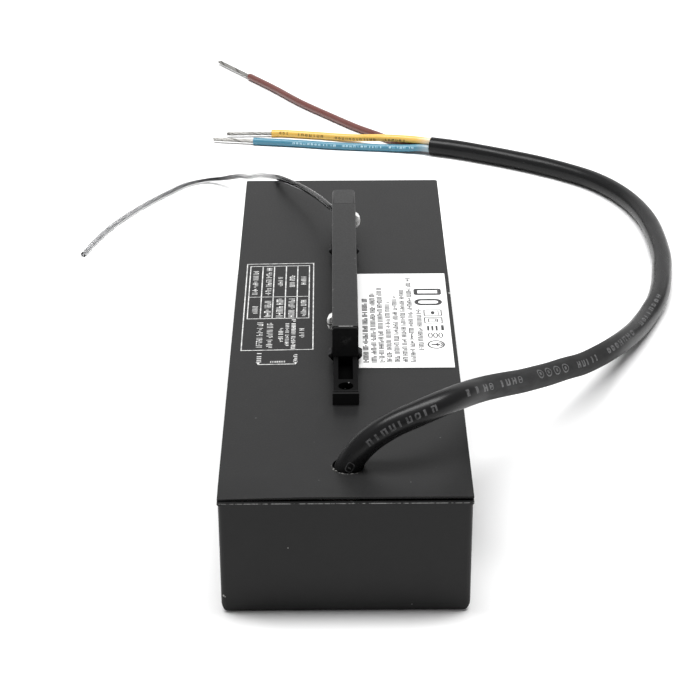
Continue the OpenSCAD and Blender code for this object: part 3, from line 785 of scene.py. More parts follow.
class Print:
    """Flat closed shapes of ink, a hair thick, lying on one level."""

    def __init__(self, z0, z1, warp=None):
        self.z0, self.z1, self.warp = z0, z1, warp or (lambda x, y: (x, y))
        self.verts, self.faces = [], []

    def shape(self, outline):
        """A closed prism on a convex outline."""
        k = len(self.verts)
        n = len(outline)
        area = sum(a[0] * b[1] - b[0] * a[1]
                   for a, b in zip(outline, outline[1:] + outline[:1]))
        if area < 0:
            outline = outline[::-1]
        for z in (self.z0, self.z1):
            for x, y in outline:
                x, y = self.warp(x, y)
                self.verts.append(Vector((x, y, z)) * MM)
        self.faces.append(tuple(k + i for i in reversed(range(n))))
        self.faces.append(tuple(k + n + i for i in range(n)))
        for i in range(n):
            j = (i + 1) % n
            self.faces.append((k + i, k + j, k + n + j, k + n + i))

    def bar(self, x0, y0, x1, y1):
        self.shape([(x0, y0), (x1, y0), (x1, y1), (x0, y1)])

    def stroke(self, a, b, w):
        d = Vector((b[0] - a[0], b[1] - a[1])).normalized() * (w / 2)
        self.shape([(a[0] - d.x + d.y, a[1] - d.y - d.x), (b[0] + d.x + d.y, b[1] + d.y - d.x),
                    (b[0] + d.x - d.y, b[1] + d.y + d.x), (a[0] - d.x - d.y, a[1] - d.y + d.x)])

    def ring(self, outline, w):
        """A closed band of width w inside a convex outline."""
        cx = sum(p[0] for p in outline) / len(outline)
        cy = sum(p[1] for p in outline) / len(outline)
        n = len(outline)
        inner = []
        for i in range(n):
            a, b, c = outline[i - 1], outline[i], outline[(i + 1) % n]
            d1 = Vector((b[0] - a[0], b[1] - a[1])).normalized()
            d2 = Vector((c[0] - b[0], c[1] - b[1])).normalized()
            n1, n2 = Vector((-d1.y, d1.x)), Vector((-d2.y, d2.x))
            m = (n1 + n2)
            m = m / max(0.2, m.dot(n1)) * w
            if m.dot(Vector((cx - b[0], cy - b[1]))) < 0:
                m = -m
            inner.append((b[0] + m.x, b[1] + m.y))
        k = len(self.verts)
        for z in (self.z0, self.z1):
            for loop in (outline, inner):
                for x, y in loop:
                    x, y = self.warp(x, y)
                    self.verts.append(Vector((x, y, z)) * MM)
        for i in range(n):
            j = (i + 1) % n
            o0, o1, i0, i1 = k + i, k + j, k + n + i, k + n + j
            top = 2 * n
            self.faces += [(o0 + top, o1 + top, i1 + top, i0 + top), (o0, i0, i1, o1),
                           (o0, o1, o1 + top, o0 + top), (i1, i0, i0 + top, i1 + top)]

    def object(self, name, material):
        o = new_object(name, self.verts, self.faces, material, smooth=False)
        import bmesh
        bm = bmesh.new()
        bm.from_mesh(o.data)
        bmesh.ops.recalc_face_normals(bm, faces=bm.faces)
        bm.to_mesh(o.data)
        bm.free()
        return o


def rounded(x0, y0, x1, y1, r, n=6):
    out = []
    for cx, cy, a in ((x1 - r, y0 + r, -90), (x1 - r, y1 - r, 0),
                      (x0 + r, y1 - r, 90), (x0 + r, y0 + r, 180)):
        for k in range(n + 1):
            t = math.radians(a + 90 * k / n)
            out.append((cx + r * math.cos(t), cy + r * math.sin(t)))
    return out


def oval(cx, cy, rx, ry, n=28):
    return [(cx + rx * math.cos(2 * math.pi * k / n), cy + ry * math.sin(2 * math.pi * k / n))
            for k in range(n)]


def row_of_bars(ink, rng, x0, x1, y0, y1, pitch, bar, gap_every=(4, 9), link=0.35):
    """A line of print, running along Y: upright bars in groups, some joined."""
    y = y0
    left = rng.randint(*gap_every)
    h = x1 - x0
    while y + bar <= y1:
        if left == 0:
            y += pitch * 0.75
            left = rng.randint(*gap_every)
            continue
        kind = rng.random()
        a = x0 if kind < 0.72 else x0 + h * rng.choice((0.25, 0.4))
        b = x1 if kind < 0.86 else x1 - h * rng.choice((0.2, 0.35))
        ink.bar(a, y, b, y + bar)
        if rng.random() < link and y + pitch + bar <= y1 and left > 1:
            c = rng.choice((x0, x0 + h * 0.42, x1 - h * 0.16))
            ink.bar(c, y + bar, c + h * 0.16, y + pitch)
        y += pitch
        left -= 1


def print_white():
    s = Shader("lid_print_white")
    worn = s.noise(900, 4, 0.7)
    fine = s.noise(5200, 2, 0.6)
    c = s.mix(s.band(worn, 0.35, 0.6), (0.34, 0.34, 0.34), (0.66, 0.66, 0.65))
    s.set(Base_Color=c, Roughness=s.band(fine, 0.3, 0.7, 0.45, 0.62),
          Specular_IOR_Level=0.35)
    s.set(Normal=s.bump(fine, 0.000006))
    return s.material


def print_dark():
    s = Shader("plate_print_dark")
    worn = s.noise(1100, 4, 0.7)
    fine = s.noise(5200, 2, 0.6)
    c = s.mix(s.band(worn, 0.32, 0.56), (0.085, 0.085, 0.088), (0.024, 0.024, 0.025))
    s.set(Base_Color=c, Roughness=s.band(fine, 0.3, 0.7, 0.42, 0.6),
          Specular_IOR_Level=0.35)
    s.set(Normal=s.bump(fine, 0.000006))
    return s.material


def lid_print():
    rng = random.Random(21)
    ink = Print(24.985, 25.022, warp=lambda x, y: (x - 0.0035 * (y - 5), y + 0.027 * (x + 14)))
    w = 0.235
    # outer frame, then the table with its columns
    ink.ring([(-21.75, -15.95), (-6.45, -15.95), (-6.45, 26.55), (-21.75, 26.55)], w)
    ink.ring([(-20.95, -1.3), (-7.4, -1.3), (-7.4, 25.3), (-20.95, 25.3)], w * 0.95)
    for x in (-18.05, -15.45, -12.75, -10.15):
        ink.bar(x - w / 2, -1.2, x + w / 2, 25.2)
    ink.bar(-20.8, 9.3, -7.5, 9.3 + w * 0.8)
    # rows of plain bars where the cells were filled in
    for x0, x1, y0, y1 in ((-20.15, -18.95, 10.7, 23.0), (-17.2, -15.95, 10.4, 24.3),
                           (-14.55, -13.45, 14.8, 19.5), (-11.9, -10.75, 14.3, 20.5),
                           (-9.35, -8.2, 15.4, 19.5), (-19.9, -18.7, 1.4, 5.8),
                           (-17.25, -15.8, -0.4, 7.9), (-14.65, -13.15, -0.7, 8.5),
                           (-12.0, -10.65, -0.7, 8.5), (-9.3, -8.1, -0.2, 8.2)):
        row_of_bars(ink, rng, x0, x1, y0, y1, 0.64, 0.235)
    for x0, x1, y0, y1, bar in ((-18.6, -17.3, -14.5, -2.8, 0.28),
                                (-16.45, -15.15, -14.8, -2.8, 0.30),
                                (-13.95, -12.95, -12.1, -4.7, 0.40),
                                (-12.5, -11.7, -14.0, -3.2, 0.36),
                                (-11.2, -10.3, -15.4, -1.7, 0.44),
                                (-9.5, -8.45, -10.3, -6.1, 0.34)):
        row_of_bars(ink, rng, x0, x1, y0, y1, 0.68, bar * 0.78)
    # the bracket below the frame
    row_of_bars(ink, rng, -18.25, -17.3, -21.2, -16.9, 0.78, 0.36)
    row_of_bars(ink, rng, -10.6, -9.8, -21.4, -17.2, 0.78, 0.36)
    for k in range(9):
        ink.bar(-15.4 + k * 0.36, -21.45, -15.2 + k * 0.36, -20.75)
    ink.bar(-17.9, -22.3, -10.1, -22.05)
    for x in (-17.9, -10.1):
        ink.shape([(x - 0.45, -21.0), (x, -22.35), (x + 0.45, -21.0)])
    o = ink.object("lid_print", print_white())
    return o


def plate_print():
    rng = random.Random(5)
    ink = Print(25.085, 25.118)
    for x0, x1, y0, y1 in ((4.05, 5.2, -21.8, 8.3), (5.75, 6.9, -21.8, 10.6),
                           (7.35, 8.5, -21.8, 13.9), (9.0, 10.1, -21.8, 6.7),
                           (10.6, 11.75, -21.8, 9.7), (12.3, 13.4, -21.8, 12.8),
                           (13.95, 15.05, -21.8, 18.5), (15.8, 16.9, -16.4, 3.1)):
        row_of_bars(ink, rng, x0, x1, y0, y1, 0.62, 0.42 if x0 < 5 else 0.37,
                    gap_every=(4, 10), link=0.55)
    # two bold plain outlines, then a file of small plain marks
    ink.ring(rounded(15.6, 9.7, 21.7, 12.9, 0.7), 0.85)
    ink.ring(rounded(15.6, 4.6, 21.7, 7.8, 1.58), 0.85)
    ink.ring(rounded(17.4, -0.6, 21.4, 2.5, 0.4), 0.27)
    ink.shape(oval(19.4, 0.95, 0.42, 0.8))
    ink.bar(20.5, -0.1, 20.7, 2.0)
    ink.ring(rounded(17.4, -4.15, 21.4, -1.15, 0.4), 0.27)
    ink.ring(rounded(18.2, -3.5, 20.4, -1.8, 0.3), 0.24)
    ink.shape(oval(19.9, -2.6, 0.2, 0.35))
    for k in range(3):
        ink.bar(17.9 + k * 0.9, -7.5, 18.35 + k * 0.9, -5.3)
    ink.bar(20.9, -7.4, 21.5, -5.0)
    for k in range(3):
        ink.ring(oval(18.45 + k * 1.1, -9.7, 0.52, 1.25, 20), 0.25)
    ink.ring(oval(19.5, -13.9, 1.85, 1.9), 0.36)
    ink.bar(18.5, -14.15, 20.4, -13.65)
    ink.ring(oval(20.2, -13.9, 0.7, 0.9, 18), 0.26)
    o = ink.object("plate_print", print_dark())
    return o


lid_print()
plate_print()


def hole_burr():
    """Torn paint and crumbs of plastic along the near rim of the cable hole."""
    rng = random.Random(17)
    verts, faces = [], []
    for k in range(26):
        a = math.radians(rng.uniform(176, 320))
        r = rng.uniform(3.0, 3.42)
        c = Vector((0.6 + r * math.cos(a), -62.85 + r * math.sin(a), 25.0))
        size = rng.uniform(0.05, 0.17) * (1.0 if r < 3.25 else 0.6)
        long_ = rng.uniform(1.0, 2.6)
        n = rng.randint(4, 6)
        i0 = len(verts)
        lean = rng.uniform(0.0, 0.5)
        tangent = Vector((-math.sin(a), math.cos(a), 0))
        away = Vector((math.cos(a), math.sin(a), 0))
        for z, share in ((-0.02, 1.0), (rng.uniform(0.03, 0.13), 0.45)):
            for j in range(n):
                t = 2 * math.pi * j / n
                q = size * share * rng.uniform(0.7, 1.2)
                verts.append((c + tangent * (q * long_ * math.cos(t)) + away * (
                    q * math.sin(t) + lean * z) + Vector((0, 0, z))) * MM)
        faces.append(tuple(i0 + j for j in reversed(range(n))))
        faces.append(tuple(i0 + n + j for j in range(n)))
        for j in range(n):
            m = (j + 1) % n
            faces.append((i0 + j, i0 + m, i0 + n + m, i0 + n + j))
    s = Shader("burr_grey")
    tone = s.noise(1600, 3, 0.7)
    fine = s.noise(6000, 2, 0.6)
    s.set(Base_Color=s.mix(s.band(tone, 0.35, 0.62), (0.016, 0.016, 0.016), (0.17, 0.166, 0.158)),
          Roughness=s.band(fine, 0.3, 0.7, 0.55, 0.8), Normal=s.bump(fine, 0.00001))
    o = new_object("hole_burr", verts, faces, s.material, smooth=False)
    return o


hole_burr()


# ---------------------------------------------------------------- finishes of the CAD pieces

def lid_paint(s):
    """Matt black powder paint with dust, scuffs and a chipped front edge."""
    x, y, z = s.split(s.place)
    slow = s.noise(38, 3, 0.55)
    mid = s.noise(260, 3, 0.6)
    fine = s.noise(2600, 2, 0.6)
    c = s.mix(slow, (0.0062, 0.0062, 0.0064), (0.0086, 0.0086, 0.0088))
    c = s.mix(s.band(mid, 0.30, 0.75, 0.0, 0.30), c, (0.0115, 0.0115, 0.0115))
    specks = dust(s, 0.60, 250)
    # specks and light mottling are strongest at the front of the lid and fade to about a third at the rear
    near = s.band(y, -0.075, 0.02, 1.0, 0.35)
    c = s.mix(s.mul(specks, near, 0.55), c, (0.42, 0.42, 0.42))
    c = s.mix(s.mul(dust(s, 0.15, 210), near, 0.42), c, (0.34, 0.34, 0.34))
    c = s.mix(s.mul(dust(s, 0.10, 262), near, 0.38), c, (0.30, 0.30, 0.30))
    c = s.mix(s.mul(s.band(fine, 0.50, 0.80), near, 0.30), c, (0.024, 0.024, 0.024))
    # faint wipe marks
    v = s.stretch(s.place, 260, 40, 40)
    wipe = s.band(s.noise(1.0, 4, 0.7, v), 0.60, 0.80, 0.0, 0.14)
    c = s.mix(wipe, c, (0.030, 0.030, 0.030))
    # bare metal: crumbs along the front edge, and a nick on the right one
    edge = s.mul(s.within(y, -0.0746, 0.00010, 0.00006), s.band(z, 0.0247, 0.0249),
                 s.band(s.noise(420, 3, 0.75), 0.52, 0.66), 0.42)
    nick = s.mul(s.spots([(23.7, 10.9, 24.95, 0.36), (5.8, -74.65, 24.95, 0.26),
                          (12.2, -74.65, 24.9, 0.2), (22.4, -74.6, 24.9, 0.2)]),
                 s.band(s.noise(1500, 3, 0.7), 0.40, 0.52))
    rim = s.math("SUBTRACT", 1.0, s.band(s.ring_distance(0.6, -62.85), 0.00304, 0.00345))
    scar = s.mul(rim, s.band(y, -0.06245, -0.06405, 0.0, 1.0),
                 s.band(s.noise(1300, 4, 0.75), 0.52, 0.62), s.band(z, 0.0248, 0.0250), 0.35)
    bare = s.most(edge, nick, scar)
    c = s.mix(bare, c, (0.42, 0.42, 0.415))
    r = s.band(fine, 0.3, 0.7, 0.40, 0.48)
    s.set(Base_Color=c, Roughness=s.math("SUBTRACT", r, s.mul(bare, 0.15)),
          Specular_IOR_Level=0.25)
    relief = s.math("ADD", s.mul(fine, 0.6), s.mul(mid, 0.5))
    s.set(Normal=s.bump(relief, 0.000012))


def ring_distance(self, x, y):
    """How far the shaded point is from an upright axis."""
    px, py, _ = self.split(self.place)
    dx = self.math("SUBTRACT", px, x * MM)
    dy = self.math("SUBTRACT", py, y * MM)
    return self.math("SQRT", self.math("ADD", self.mul(dx, dx), self.mul(dy, dy)))


Shader.ring_distance = ring_distance


def housing_paint(s):
    x, y, z = s.split(s.place)
    slow = s.noise(45, 3, 0.55)
    mid = s.noise(300, 3, 0.6)
    fine = s.noise(2600, 2, 0.6)
    c = s.mix(slow, (0.0062, 0.0062, 0.0064), (0.0086, 0.0086, 0.0088))
    c = s.mix(s.band(mid, 0.30, 0.75, 0.0, 0.25), c, (0.0115, 0.0115, 0.0115))
    c = s.mix(s.mul(dust(s, 0.80, 220), 0.4), c, (0.30, 0.30, 0.30))
    # the paint has broken along the front rim: a worn, dashed line of metal
    v = s.stretch(s.place, 1.0, 0.2, 0.2)
    front = s.mul(s.band(y, -0.07485, -0.07497, 0.0, 1.0), s.band(z, 0.02402, 0.02408),
                  s.band(s.noise(1500, 3, 0.75, v), 0.40, 0.56), s.band(s.noise(120, 2, 0.6), 0.30, 0.48, 0.5, 1.0), 0.62)
    top = s.mul(s.band(z, 0.02408, 0.02414), s.band(s.noise(500, 3, 0.7), 0.62, 0.72), 0.25)
    chips = s.mul(s.spots([(-23.19, -75.0, 3.77, 0.26), (-22.85, -75.05, 3.55, 0.15),
                           (23.52, -75.0, 7.94, 0.18), (-10.75, -75, 14.47, 0.09),
                           (12.5, -75, 1.66, 0.10)]),
                  s.band(s.noise(1700, 3, 0.7), 0.38, 0.5))
    bare = s.most(front, top, chips)
    c = s.mix(bare, c, (0.33, 0.33, 0.325))
    r = s.band(fine, 0.3, 0.7, 0.38, 0.46)
    s.set(Base_Color=c, Roughness=s.math("SUBTRACT", r, s.mul(bare, 0.15)),
          Specular_IOR_Level=0.21)
    relief = s.math("ADD", s.mul(fine, 0.6), s.mul(mid, 0.5))
    s.set(Normal=s.bump(relief, 0.000012))


def cover_paint(s):
    x, y, z = s.split(s.place)
    slow = s.noise(60, 3, 0.55)
    fine = s.noise(2600, 2, 0.6)
    bands = s.noise(1.0, 3, 0.6, s.stretch(s.place, 60, 700, 60))
    c = s.mix(slow, (0.0070, 0.0070, 0.0072), (0.0105, 0.0105, 0.0107))
    c = s.mix(s.band(bands, 0.35, 0.75, 0.0, 0.30), c, (0.020, 0.020, 0.020))
    c = s.mix(s.mul(dust(s, 0.70, 330), 0.5), c, (0.36, 0.36, 0.36))
    # sawn end: bare metal on the top edge facing the front
    cut = s.mul(s.band(y, -0.02342, -0.02348, 0.0, 1.0), s.band(z, 0.03439, 0.03443),
                s.within(x, 0.0004, 0.0013, 0.0003),
                s.band(s.noise(700, 3, 0.7), 0.30, 0.45))
    rub = s.mul(s.band(s.math("ABSOLUTE", s.math("SUBTRACT", x, 0.0003)), 0.00215, 0.0024),
                s.band(s.noise(380, 4, 0.75), 0.60, 0.72), 0.25)
    bare = s.most(cut, rub)
    c = s.mix(bare, c, (0.75, 0.75, 0.74))
    r = s.math("ADD", s.band(fine, 0.3, 0.7, 0.33, 0.41), s.mul(bands, 0.06))
    s.set(Base_Color=c, Roughness=s.math("SUBTRACT", r, s.mul(bare, 0.1)),
          Specular_IOR_Level=0.27)
    relief = s.math("ADD", s.mul(fine, 0.5), s.mul(bands, 0.5))
    s.set(Normal=s.bump(relief, 0.000014))


def black_plastic(s):
    """Moulded black plastic: deep, satin, with faint flow lines and scrapes."""
    x, y, z = s.split(s.place)
    slow = s.noise(80, 3, 0.55)
    fine = s.noise(2200, 2, 0.6)
    flow = s.noise(1.0, 3, 0.6, s.stretch(s.place, 900, 120, 400))
    c = s.mix(slow, (0.0020, 0.0020, 0.0021), (0.0036, 0.0036, 0.0037))
    # rubbed where the bar meets the track: the latch noses; the foot's front edge gets a painted highlight
    across = s.math("ABSOLUTE", s.math("SUBTRACT", x, 0.0003))
    rubbed = s.mul(s.band(across, 0.00274, 0.00300), s.band(z, 0.0262, 0.0272),
                   s.band(s.noise(900, 3, 0.6), 0.25, 0.60, 0.45, 1.0))
    # painted highlight: a lighter line along the top of the foot's front edge
    lip_painted_highlight = s.mul(s.within(y, -0.03895, 0.00010, 0.00006), s.band(z, 0.02770, 0.02780),
                s.band(s.noise(1100, 3, 0.7), 0.32, 0.55, 0.35, 1.0), 0.9)
    # painted light: the upright front faces of the bar and of the foot are coloured lighter than the rest
    # of this plastic, standing in for light falling on them
    face = s.mul(s.band(y, -0.02390, -0.02378, 1.0, 0.0), s.band(z, 0.0278, 0.0280))
    toe_painted_light = s.mul(s.band(y, -0.03884, -0.03876, 1.0, 0.0), s.band(z, 0.02765, 0.02775, 1.0, 0.0))
    c = s.mix(toe_painted_light, c, (0.019, 0.019, 0.0193))
    c = s.mix(face, c, s.mix(s.noise(420, 3, 0.6), (0.015, 0.015, 0.0153), (0.027, 0.027, 0.0273)))
    smudge = s.mul(face, s.spots([(0.1, -24.3, 31.6, 0.75), (0.9, -24.3, 31.9, 0.5)], 0.0005),
                   s.band(s.noise(1500, 4, 0.75), 0.42, 0.62))
    c = s.mix(s.mul(smudge, 0.6), c, (0.085, 0.085, 0.085))
    c = s.mix(rubbed, c, (0.046, 0.046, 0.047))
    c = s.mix(lip_painted_highlight, c, (0.022, 0.022, 0.0224))
    scrape = s.mul(s.band(s.noise(520, 5, 0.8), 0.66, 0.74), 0.22)
    c = s.mix(scrape, c, (0.06, 0.06, 0.06))
    c = s.mix(s.mul(dust(s, 0.66, 520), 0.45), c, (0.30, 0.30, 0.30))
    glint = s.mul(s.spots([(1.7, -34.0, 25.6, 0.20), (0.2, -35.3, 26.4, 0.16),
                           (0.9, -35.4, 27.8, 0.12)]),
                  s.band(s.noise(2500, 3, 0.7), 0.42, 0.55))
    c = s.mix(glint, c, (0.30, 0.30, 0.30))
    # painted shade: the bottom of the open recess is made near black, and rougher
    pocket_painted_shade = s.mul(s.within(x, 0.0003, 0.0021, 0.0002), s.within(y, -0.0290, 0.0052, 0.0004),
                   s.band(z, 0.0268, 0.0272, 1.0, 0.0))
    c = s.mix(pocket_painted_shade, c, (0.0012, 0.0012, 0.0012))
    r = s.math("ADD", s.band(flow, 0.3, 0.7, 0.54, 0.66), s.mul(pocket_painted_shade, 0.3), clamp=True)
    s.set(Base_Color=c, Roughness=r, Specular_IOR_Level=0.014)
    relief = s.math("ADD", s.mul(fine, 0.5), s.mul(flow, 0.5))
    s.set(Normal=s.bump(relief, 0.000020))


def cap_plastic(s):
    slow = s.noise(90, 3, 0.55)
    fine = s.noise(2400, 2, 0.6)
    c = s.mix(slow, (0.011, 0.011, 0.0112), (0.016, 0.016, 0.0163))
    c = s.mix(s.mul(dust(s, 0.75, 420), 0.4), c, (0.36, 0.36, 0.36))
    s.set(Base_Color=c, Roughness=s.band(fine, 0.3, 0.7, 0.32, 0.42), Specular_IOR_Level=0.33)
    s.set(Normal=s.bump(fine, 0.000012))


def plate_white(s):
    """White sticker: smooth film, faintly uneven, a little grey at its edges."""
    x, y, z = s.split(s.place)
    slow = s.noise(55, 3, 0.5)
    fine = s.noise(3200, 2, 0.6)
    c = s.mix(slow, (0.86, 0.86, 0.855), (0.93, 0.93, 0.93))
    dx = s.math("ABSOLUTE", s.math("SUBTRACT", x, 0.0130))
    dy = s.math("ABSOLUTE", s.math("SUBTRACT", y, -0.0017))
    rim = s.most(s.band(dx, 0.00962, 0.0099), s.band(dy, 0.02212, 0.0224))
    c = s.mix(s.mul(rim, s.band(s.noise(600, 3, 0.6), 0.3, 0.7, 0.3, 1.0), 0.45), c,
              (0.50, 0.50, 0.49))
    c = s.mix(s.mul(dust(s, 0.86, 380), 0.35), c, (0.35, 0.35, 0.34))
    s.set(Base_Color=c, Roughness=s.band(fine, 0.3, 0.7, 0.34, 0.46), Specular_IOR_Level=0.4)
    s.set(Normal=s.bump(s.math("ADD", s.mul(slow, 2.0), s.mul(fine, 0.3)), 0.00003))


def contact_metal(s):
    """Nickel-plated leaf: bright, faintly clouded where it has been rubbed; a painted dark line stands for
    the shade in the slit between its two leaves.
    """
    slow = s.noise(240, 3, 0.6)
    fine = s.noise(1.0, 2, 0.5, s.stretch(s.place, 300, 1400, 300))
    c = s.mix(slow, (0.84, 0.84, 0.83), (0.97, 0.97, 0.96))
    x, y, z = s.split(s.place)
    # painted shade: a dark line where the two leaves of the contact part
    slot = s.mul(s.within(z, 0.03135, 0.00013, 0.00008), s.band(x, -0.0026, -0.0023, 1.0, 0.0))
    c = s.mix(s.mul(slot, 0.9), c, (0.05, 0.05, 0.05))
    s.set(Base_Color=c, Metallic=0.45, Roughness=s.band(fine, 0.3, 0.7, 0.34, 0.42))


def sealant(s):
    simple_finish(s, (0.014, 0.014, 0.015), 0.38, cloud=160, grain=900, depth=0.00006)


def liner_film(s):
    """Fish paper: fibres in a buff sheet."""
    _, c, _ = simple_finish(s, (0.62, 0.55, 0.40), 0.62, vary=0.06)
    fibre = s.band(s.noise(1.0, 4, 0.75, s.stretch(s.place, 260, 1500, 260)), 0.58, 0.70)
    s.set(Base_Color=s.mix(s.mul(fibre, 0.4), c, (0.42, 0.36, 0.25)))


def screw_steel(s):
    _, c, _ = simple_finish(s, (0.62, 0.63, 0.64), 0.30, metal=1.0, cloud=500, grain=2600,
                            depth=0.00001)
    stain = s.band(s.noise(900, 4, 0.7), 0.58, 0.74, 0.0, 0.5)
    s.set(Base_Color=s.mix(stain, c, (0.30, 0.29, 0.27)))


def brass(s):
    _, c, _ = simple_finish(s, (0.72, 0.54, 0.22), 0.30, metal=1.0, cloud=400, grain=2600)
    knurl = s.noise(1.0, 2, 0.5, s.stretch(s.place, 2500, 2500, 120))
    s.set(Base_Color=s.mix(s.band(knurl, 0.45, 0.7, 0.0, 0.5), c, (0.42, 0.29, 0.10)))


def tin(s):
    _, c, _ = simple_finish(s, (0.66, 0.66, 0.64), 0.36, metal=1.0, cloud=600, grain=2200)
    s.set(Base_Color=s.mix(s.band(s.noise(1300, 3, 0.7), 0.55, 0.72, 0, 0.5), c,
                           (0.40, 0.40, 0.38)))


def board_green(s):
    """Solder mask over copper: lighter tracks, bright pads, glass edge."""
    x, y, z = s.split(s.place)
    tracks = s.cells(330, s.stretch(s.place, 1, 0.55, 0), "DISTANCE_TO_EDGE", 0.65)["Distance"]
    on = s.band(tracks, 0.035, 0.055, 1.0, 0.0)
    slow = s.noise(60, 3, 0.5)
    c = s.mix(slow, (0.016, 0.095, 0.034), (0.022, 0.125, 0.046))
    c = s.mix(s.mul(on, 0.85), c, (0.040, 0.200, 0.075))
    cell = s.cells(200, s.stretch(s.place, 1, 1, 0), random_=0.5)
    pads = s.math("LESS_THAN", cell["Distance"], 0.15)
    c = s.mix(pads, c, (0.66, 0.66, 0.62))
    fine = s.noise(2400, 2, 0.6)
    s.set(Base_Color=c, Roughness=s.band(fine, 0.3, 0.7, 0.22, 0.36), Metallic=s.mul(pads, 0.9))
    s.set(Normal=s.bump(s.math("ADD", s.mul(on, 0.8), s.mul(fine, 0.2)), 0.00004))


def glass_fuse(s):
    """Ceramic barrel between two nickel caps."""
    x, y, z = s.split(s.place)
    cap = s.most(s.band(y, -0.0382, -0.0380, 1.0, 0.0), s.band(y, -0.0280, -0.0278))
    _, c, _ = simple_finish(s, (0.72, 0.70, 0.66), 0.28, cloud=300, grain=1500)
    bands = s.band(s.noise(1.0, 2, 0.5, s.stretch(s.place, 50, 1800, 50)), 0.55, 0.65, 0, 0.25)
    c = s.mix(bands, c, (0.50, 0.47, 0.42))
    s.set(Base_Color=s.mix(cap, c, (0.72, 0.71, 0.68)), Metallic=cap)


def dipped(colour):
    def build(s):
        _, c, _ = simple_finish(s, colour, 0.26, cloud=260, grain=700, depth=0.00008)
        run = s.band(s.noise(1.0, 3, 0.6, s.stretch(s.place, 350, 350, 90)), 0.55, 0.75, 0, 0.35)
        s.set(Base_Color=s.mix(run, c, scaled(colour, 0.55)))
    return build


def film_yellow(s):
    _, c, _ = simple_finish(s, (0.70, 0.52, 0.060), 0.30, cloud=140, grain=900, depth=0.00004)
    layer = s.band(s.noise(1.0, 2, 0.5, s.stretch(s.place, 30, 30, 1900)), 0.55, 0.7, 0, 0.3)
    s.set(Base_Color=s.mix(layer, c, (0.48, 0.34, 0.04)))


def ferrite(s):
    _, c, _ = simple_finish(s, (0.040, 0.040, 0.042), 0.50, cloud=300, grain=1500,
                            depth=0.00005)
    pore = s.band(s.cells(1700)["Distance"], 0.10, 0.20, 1.0, 0.0)
    s.set(Base_Color=s.mix(s.mul(pore, 0.6), c, (0.010, 0.010, 0.010)))


def ferrite_yellow(s):
    """Coated ring core: yellow, with one face white."""
    x, y, z = s.split(s.place)
    _, c, _ = simple_finish(s, (0.66, 0.50, 0.070), 0.42, cloud=300, grain=1300,
                            depth=0.00005)
    s.set(Base_Color=s.mix(s.band(z, 0.0070, 0.0074, 1.0, 0.0), c, (0.74, 0.74, 0.70)))


def copper_wire(s):
    """Enamelled wire wound in close turns round each ring's own axis."""
    x, y, z = s.split(s.place)
    on_right = s.band(y, 0.020, 0.021)
    cx = s.band(on_right, 0, 1, -0.0085, 0.0055, smooth=False)
    cy = s.band(on_right, 0, 1, -0.0130, 0.0580, smooth=False)
    angle = s.math("ARCTAN2", s.math("SUBTRACT", y, cy), s.math("SUBTRACT", x, cx))
    turn = s.math("FRACT", s.math("MULTIPLY", angle, 11.0))
    ridge = s.math("SINE", s.math("MULTIPLY", turn, math.pi))
    tone = s.noise(420, 3, 0.6)
    c = s.mix(tone, (0.36, 0.135, 0.035), (0.56, 0.23, 0.070))
    # painted shade: darker in the grooves between turns
    c = s.mix(s.band(ridge, 0.0, 0.45, 0.85, 0.0), c, (0.075, 0.024, 0.008))
    fine = s.noise(2600, 2, 0.6)
    s.set(Base_Color=c, Metallic=0.75, Roughness=s.band(fine, 0.3, 0.7, 0.20, 0.34),
          Coat_Weight=0.6, Coat_Roughness=0.12)
    s.set(Normal=s.bump(ridge, 0.00022))


def tape_yellow(s):
    """Polyester tape over the winding: overlapping turns."""
    x, y, z = s.split(s.place)
    turn = s.math("FRACT", s.math("MULTIPLY", y, 420.0))
    _, c, _ = simple_finish(s, (0.72, 0.46, 0.045), 0.26, cloud=200, grain=1200)
    edge = s.band(turn, 0.0, 0.10, 0.6, 0.0)
    s.set(Base_Color=s.mix(edge, c, (0.42, 0.24, 0.02)))
    s.set(Normal=s.bump(s.math("ADD", turn, s.mul(s.noise(900, 3, 0.6), 0.5)), 0.00008))


def chip_black(s):
    """Moulding compound: matt black, faint swirl, a laser-grey band."""
    _, c, _ = simple_finish(s, (0.012, 0.012, 0.0125), 0.50, cloud=320, grain=2100,
                            depth=0.00003)
    swirl = s.band(s.noise(150, 5, 0.7), 0.50, 0.75, 0.0, 0.3)
    s.set(Base_Color=s.mix(swirl, c, (0.032, 0.032, 0.033)))


def chip_white(s):
    _, c, _ = simple_finish(s, (0.72, 0.72, 0.69), 0.45, cloud=320, grain=2100)
    s.set(Base_Color=s.mix(s.band(s.noise(150, 5, 0.7), 0.5, 0.75, 0, 0.3), c,
                           (0.55, 0.55, 0.52)))


def cap_sleeve(s):
    """Aluminium can in a dark sleeve, bare metal on the vented end."""
    x, y, z = s.split(s.place)
    lying = s.band(y, 0.030, 0.031, 1.0, 0.0)
    end_lying = s.band(y, 0.01985, 0.01995)
    end_up = s.math("MAXIMUM", s.band(z, 0.02215, 0.02219),
                    s.mul(s.band(z, 0.01710, 0.01719), s.band(y, 0.0645, 0.0650),
                          s.band(x, 0.004, 0.005)))
    metal = s.math("ADD", s.mul(lying, end_lying),
                   s.mul(s.math("SUBTRACT", 1.0, lying), end_up), clamp=True)
    stripe = s.mul(s.within(z, 0.0165, 0.0018, 0.0001), lying)
    _, c, _ = simple_finish(s, (0.018, 0.022, 0.045), 0.28, cloud=200, grain=1500)
    c = s.mix(stripe, c, (0.34, 0.36, 0.40))
    s.set(Base_Color=s.mix(metal, c, (0.78, 0.78, 0.78)), Metallic=metal)


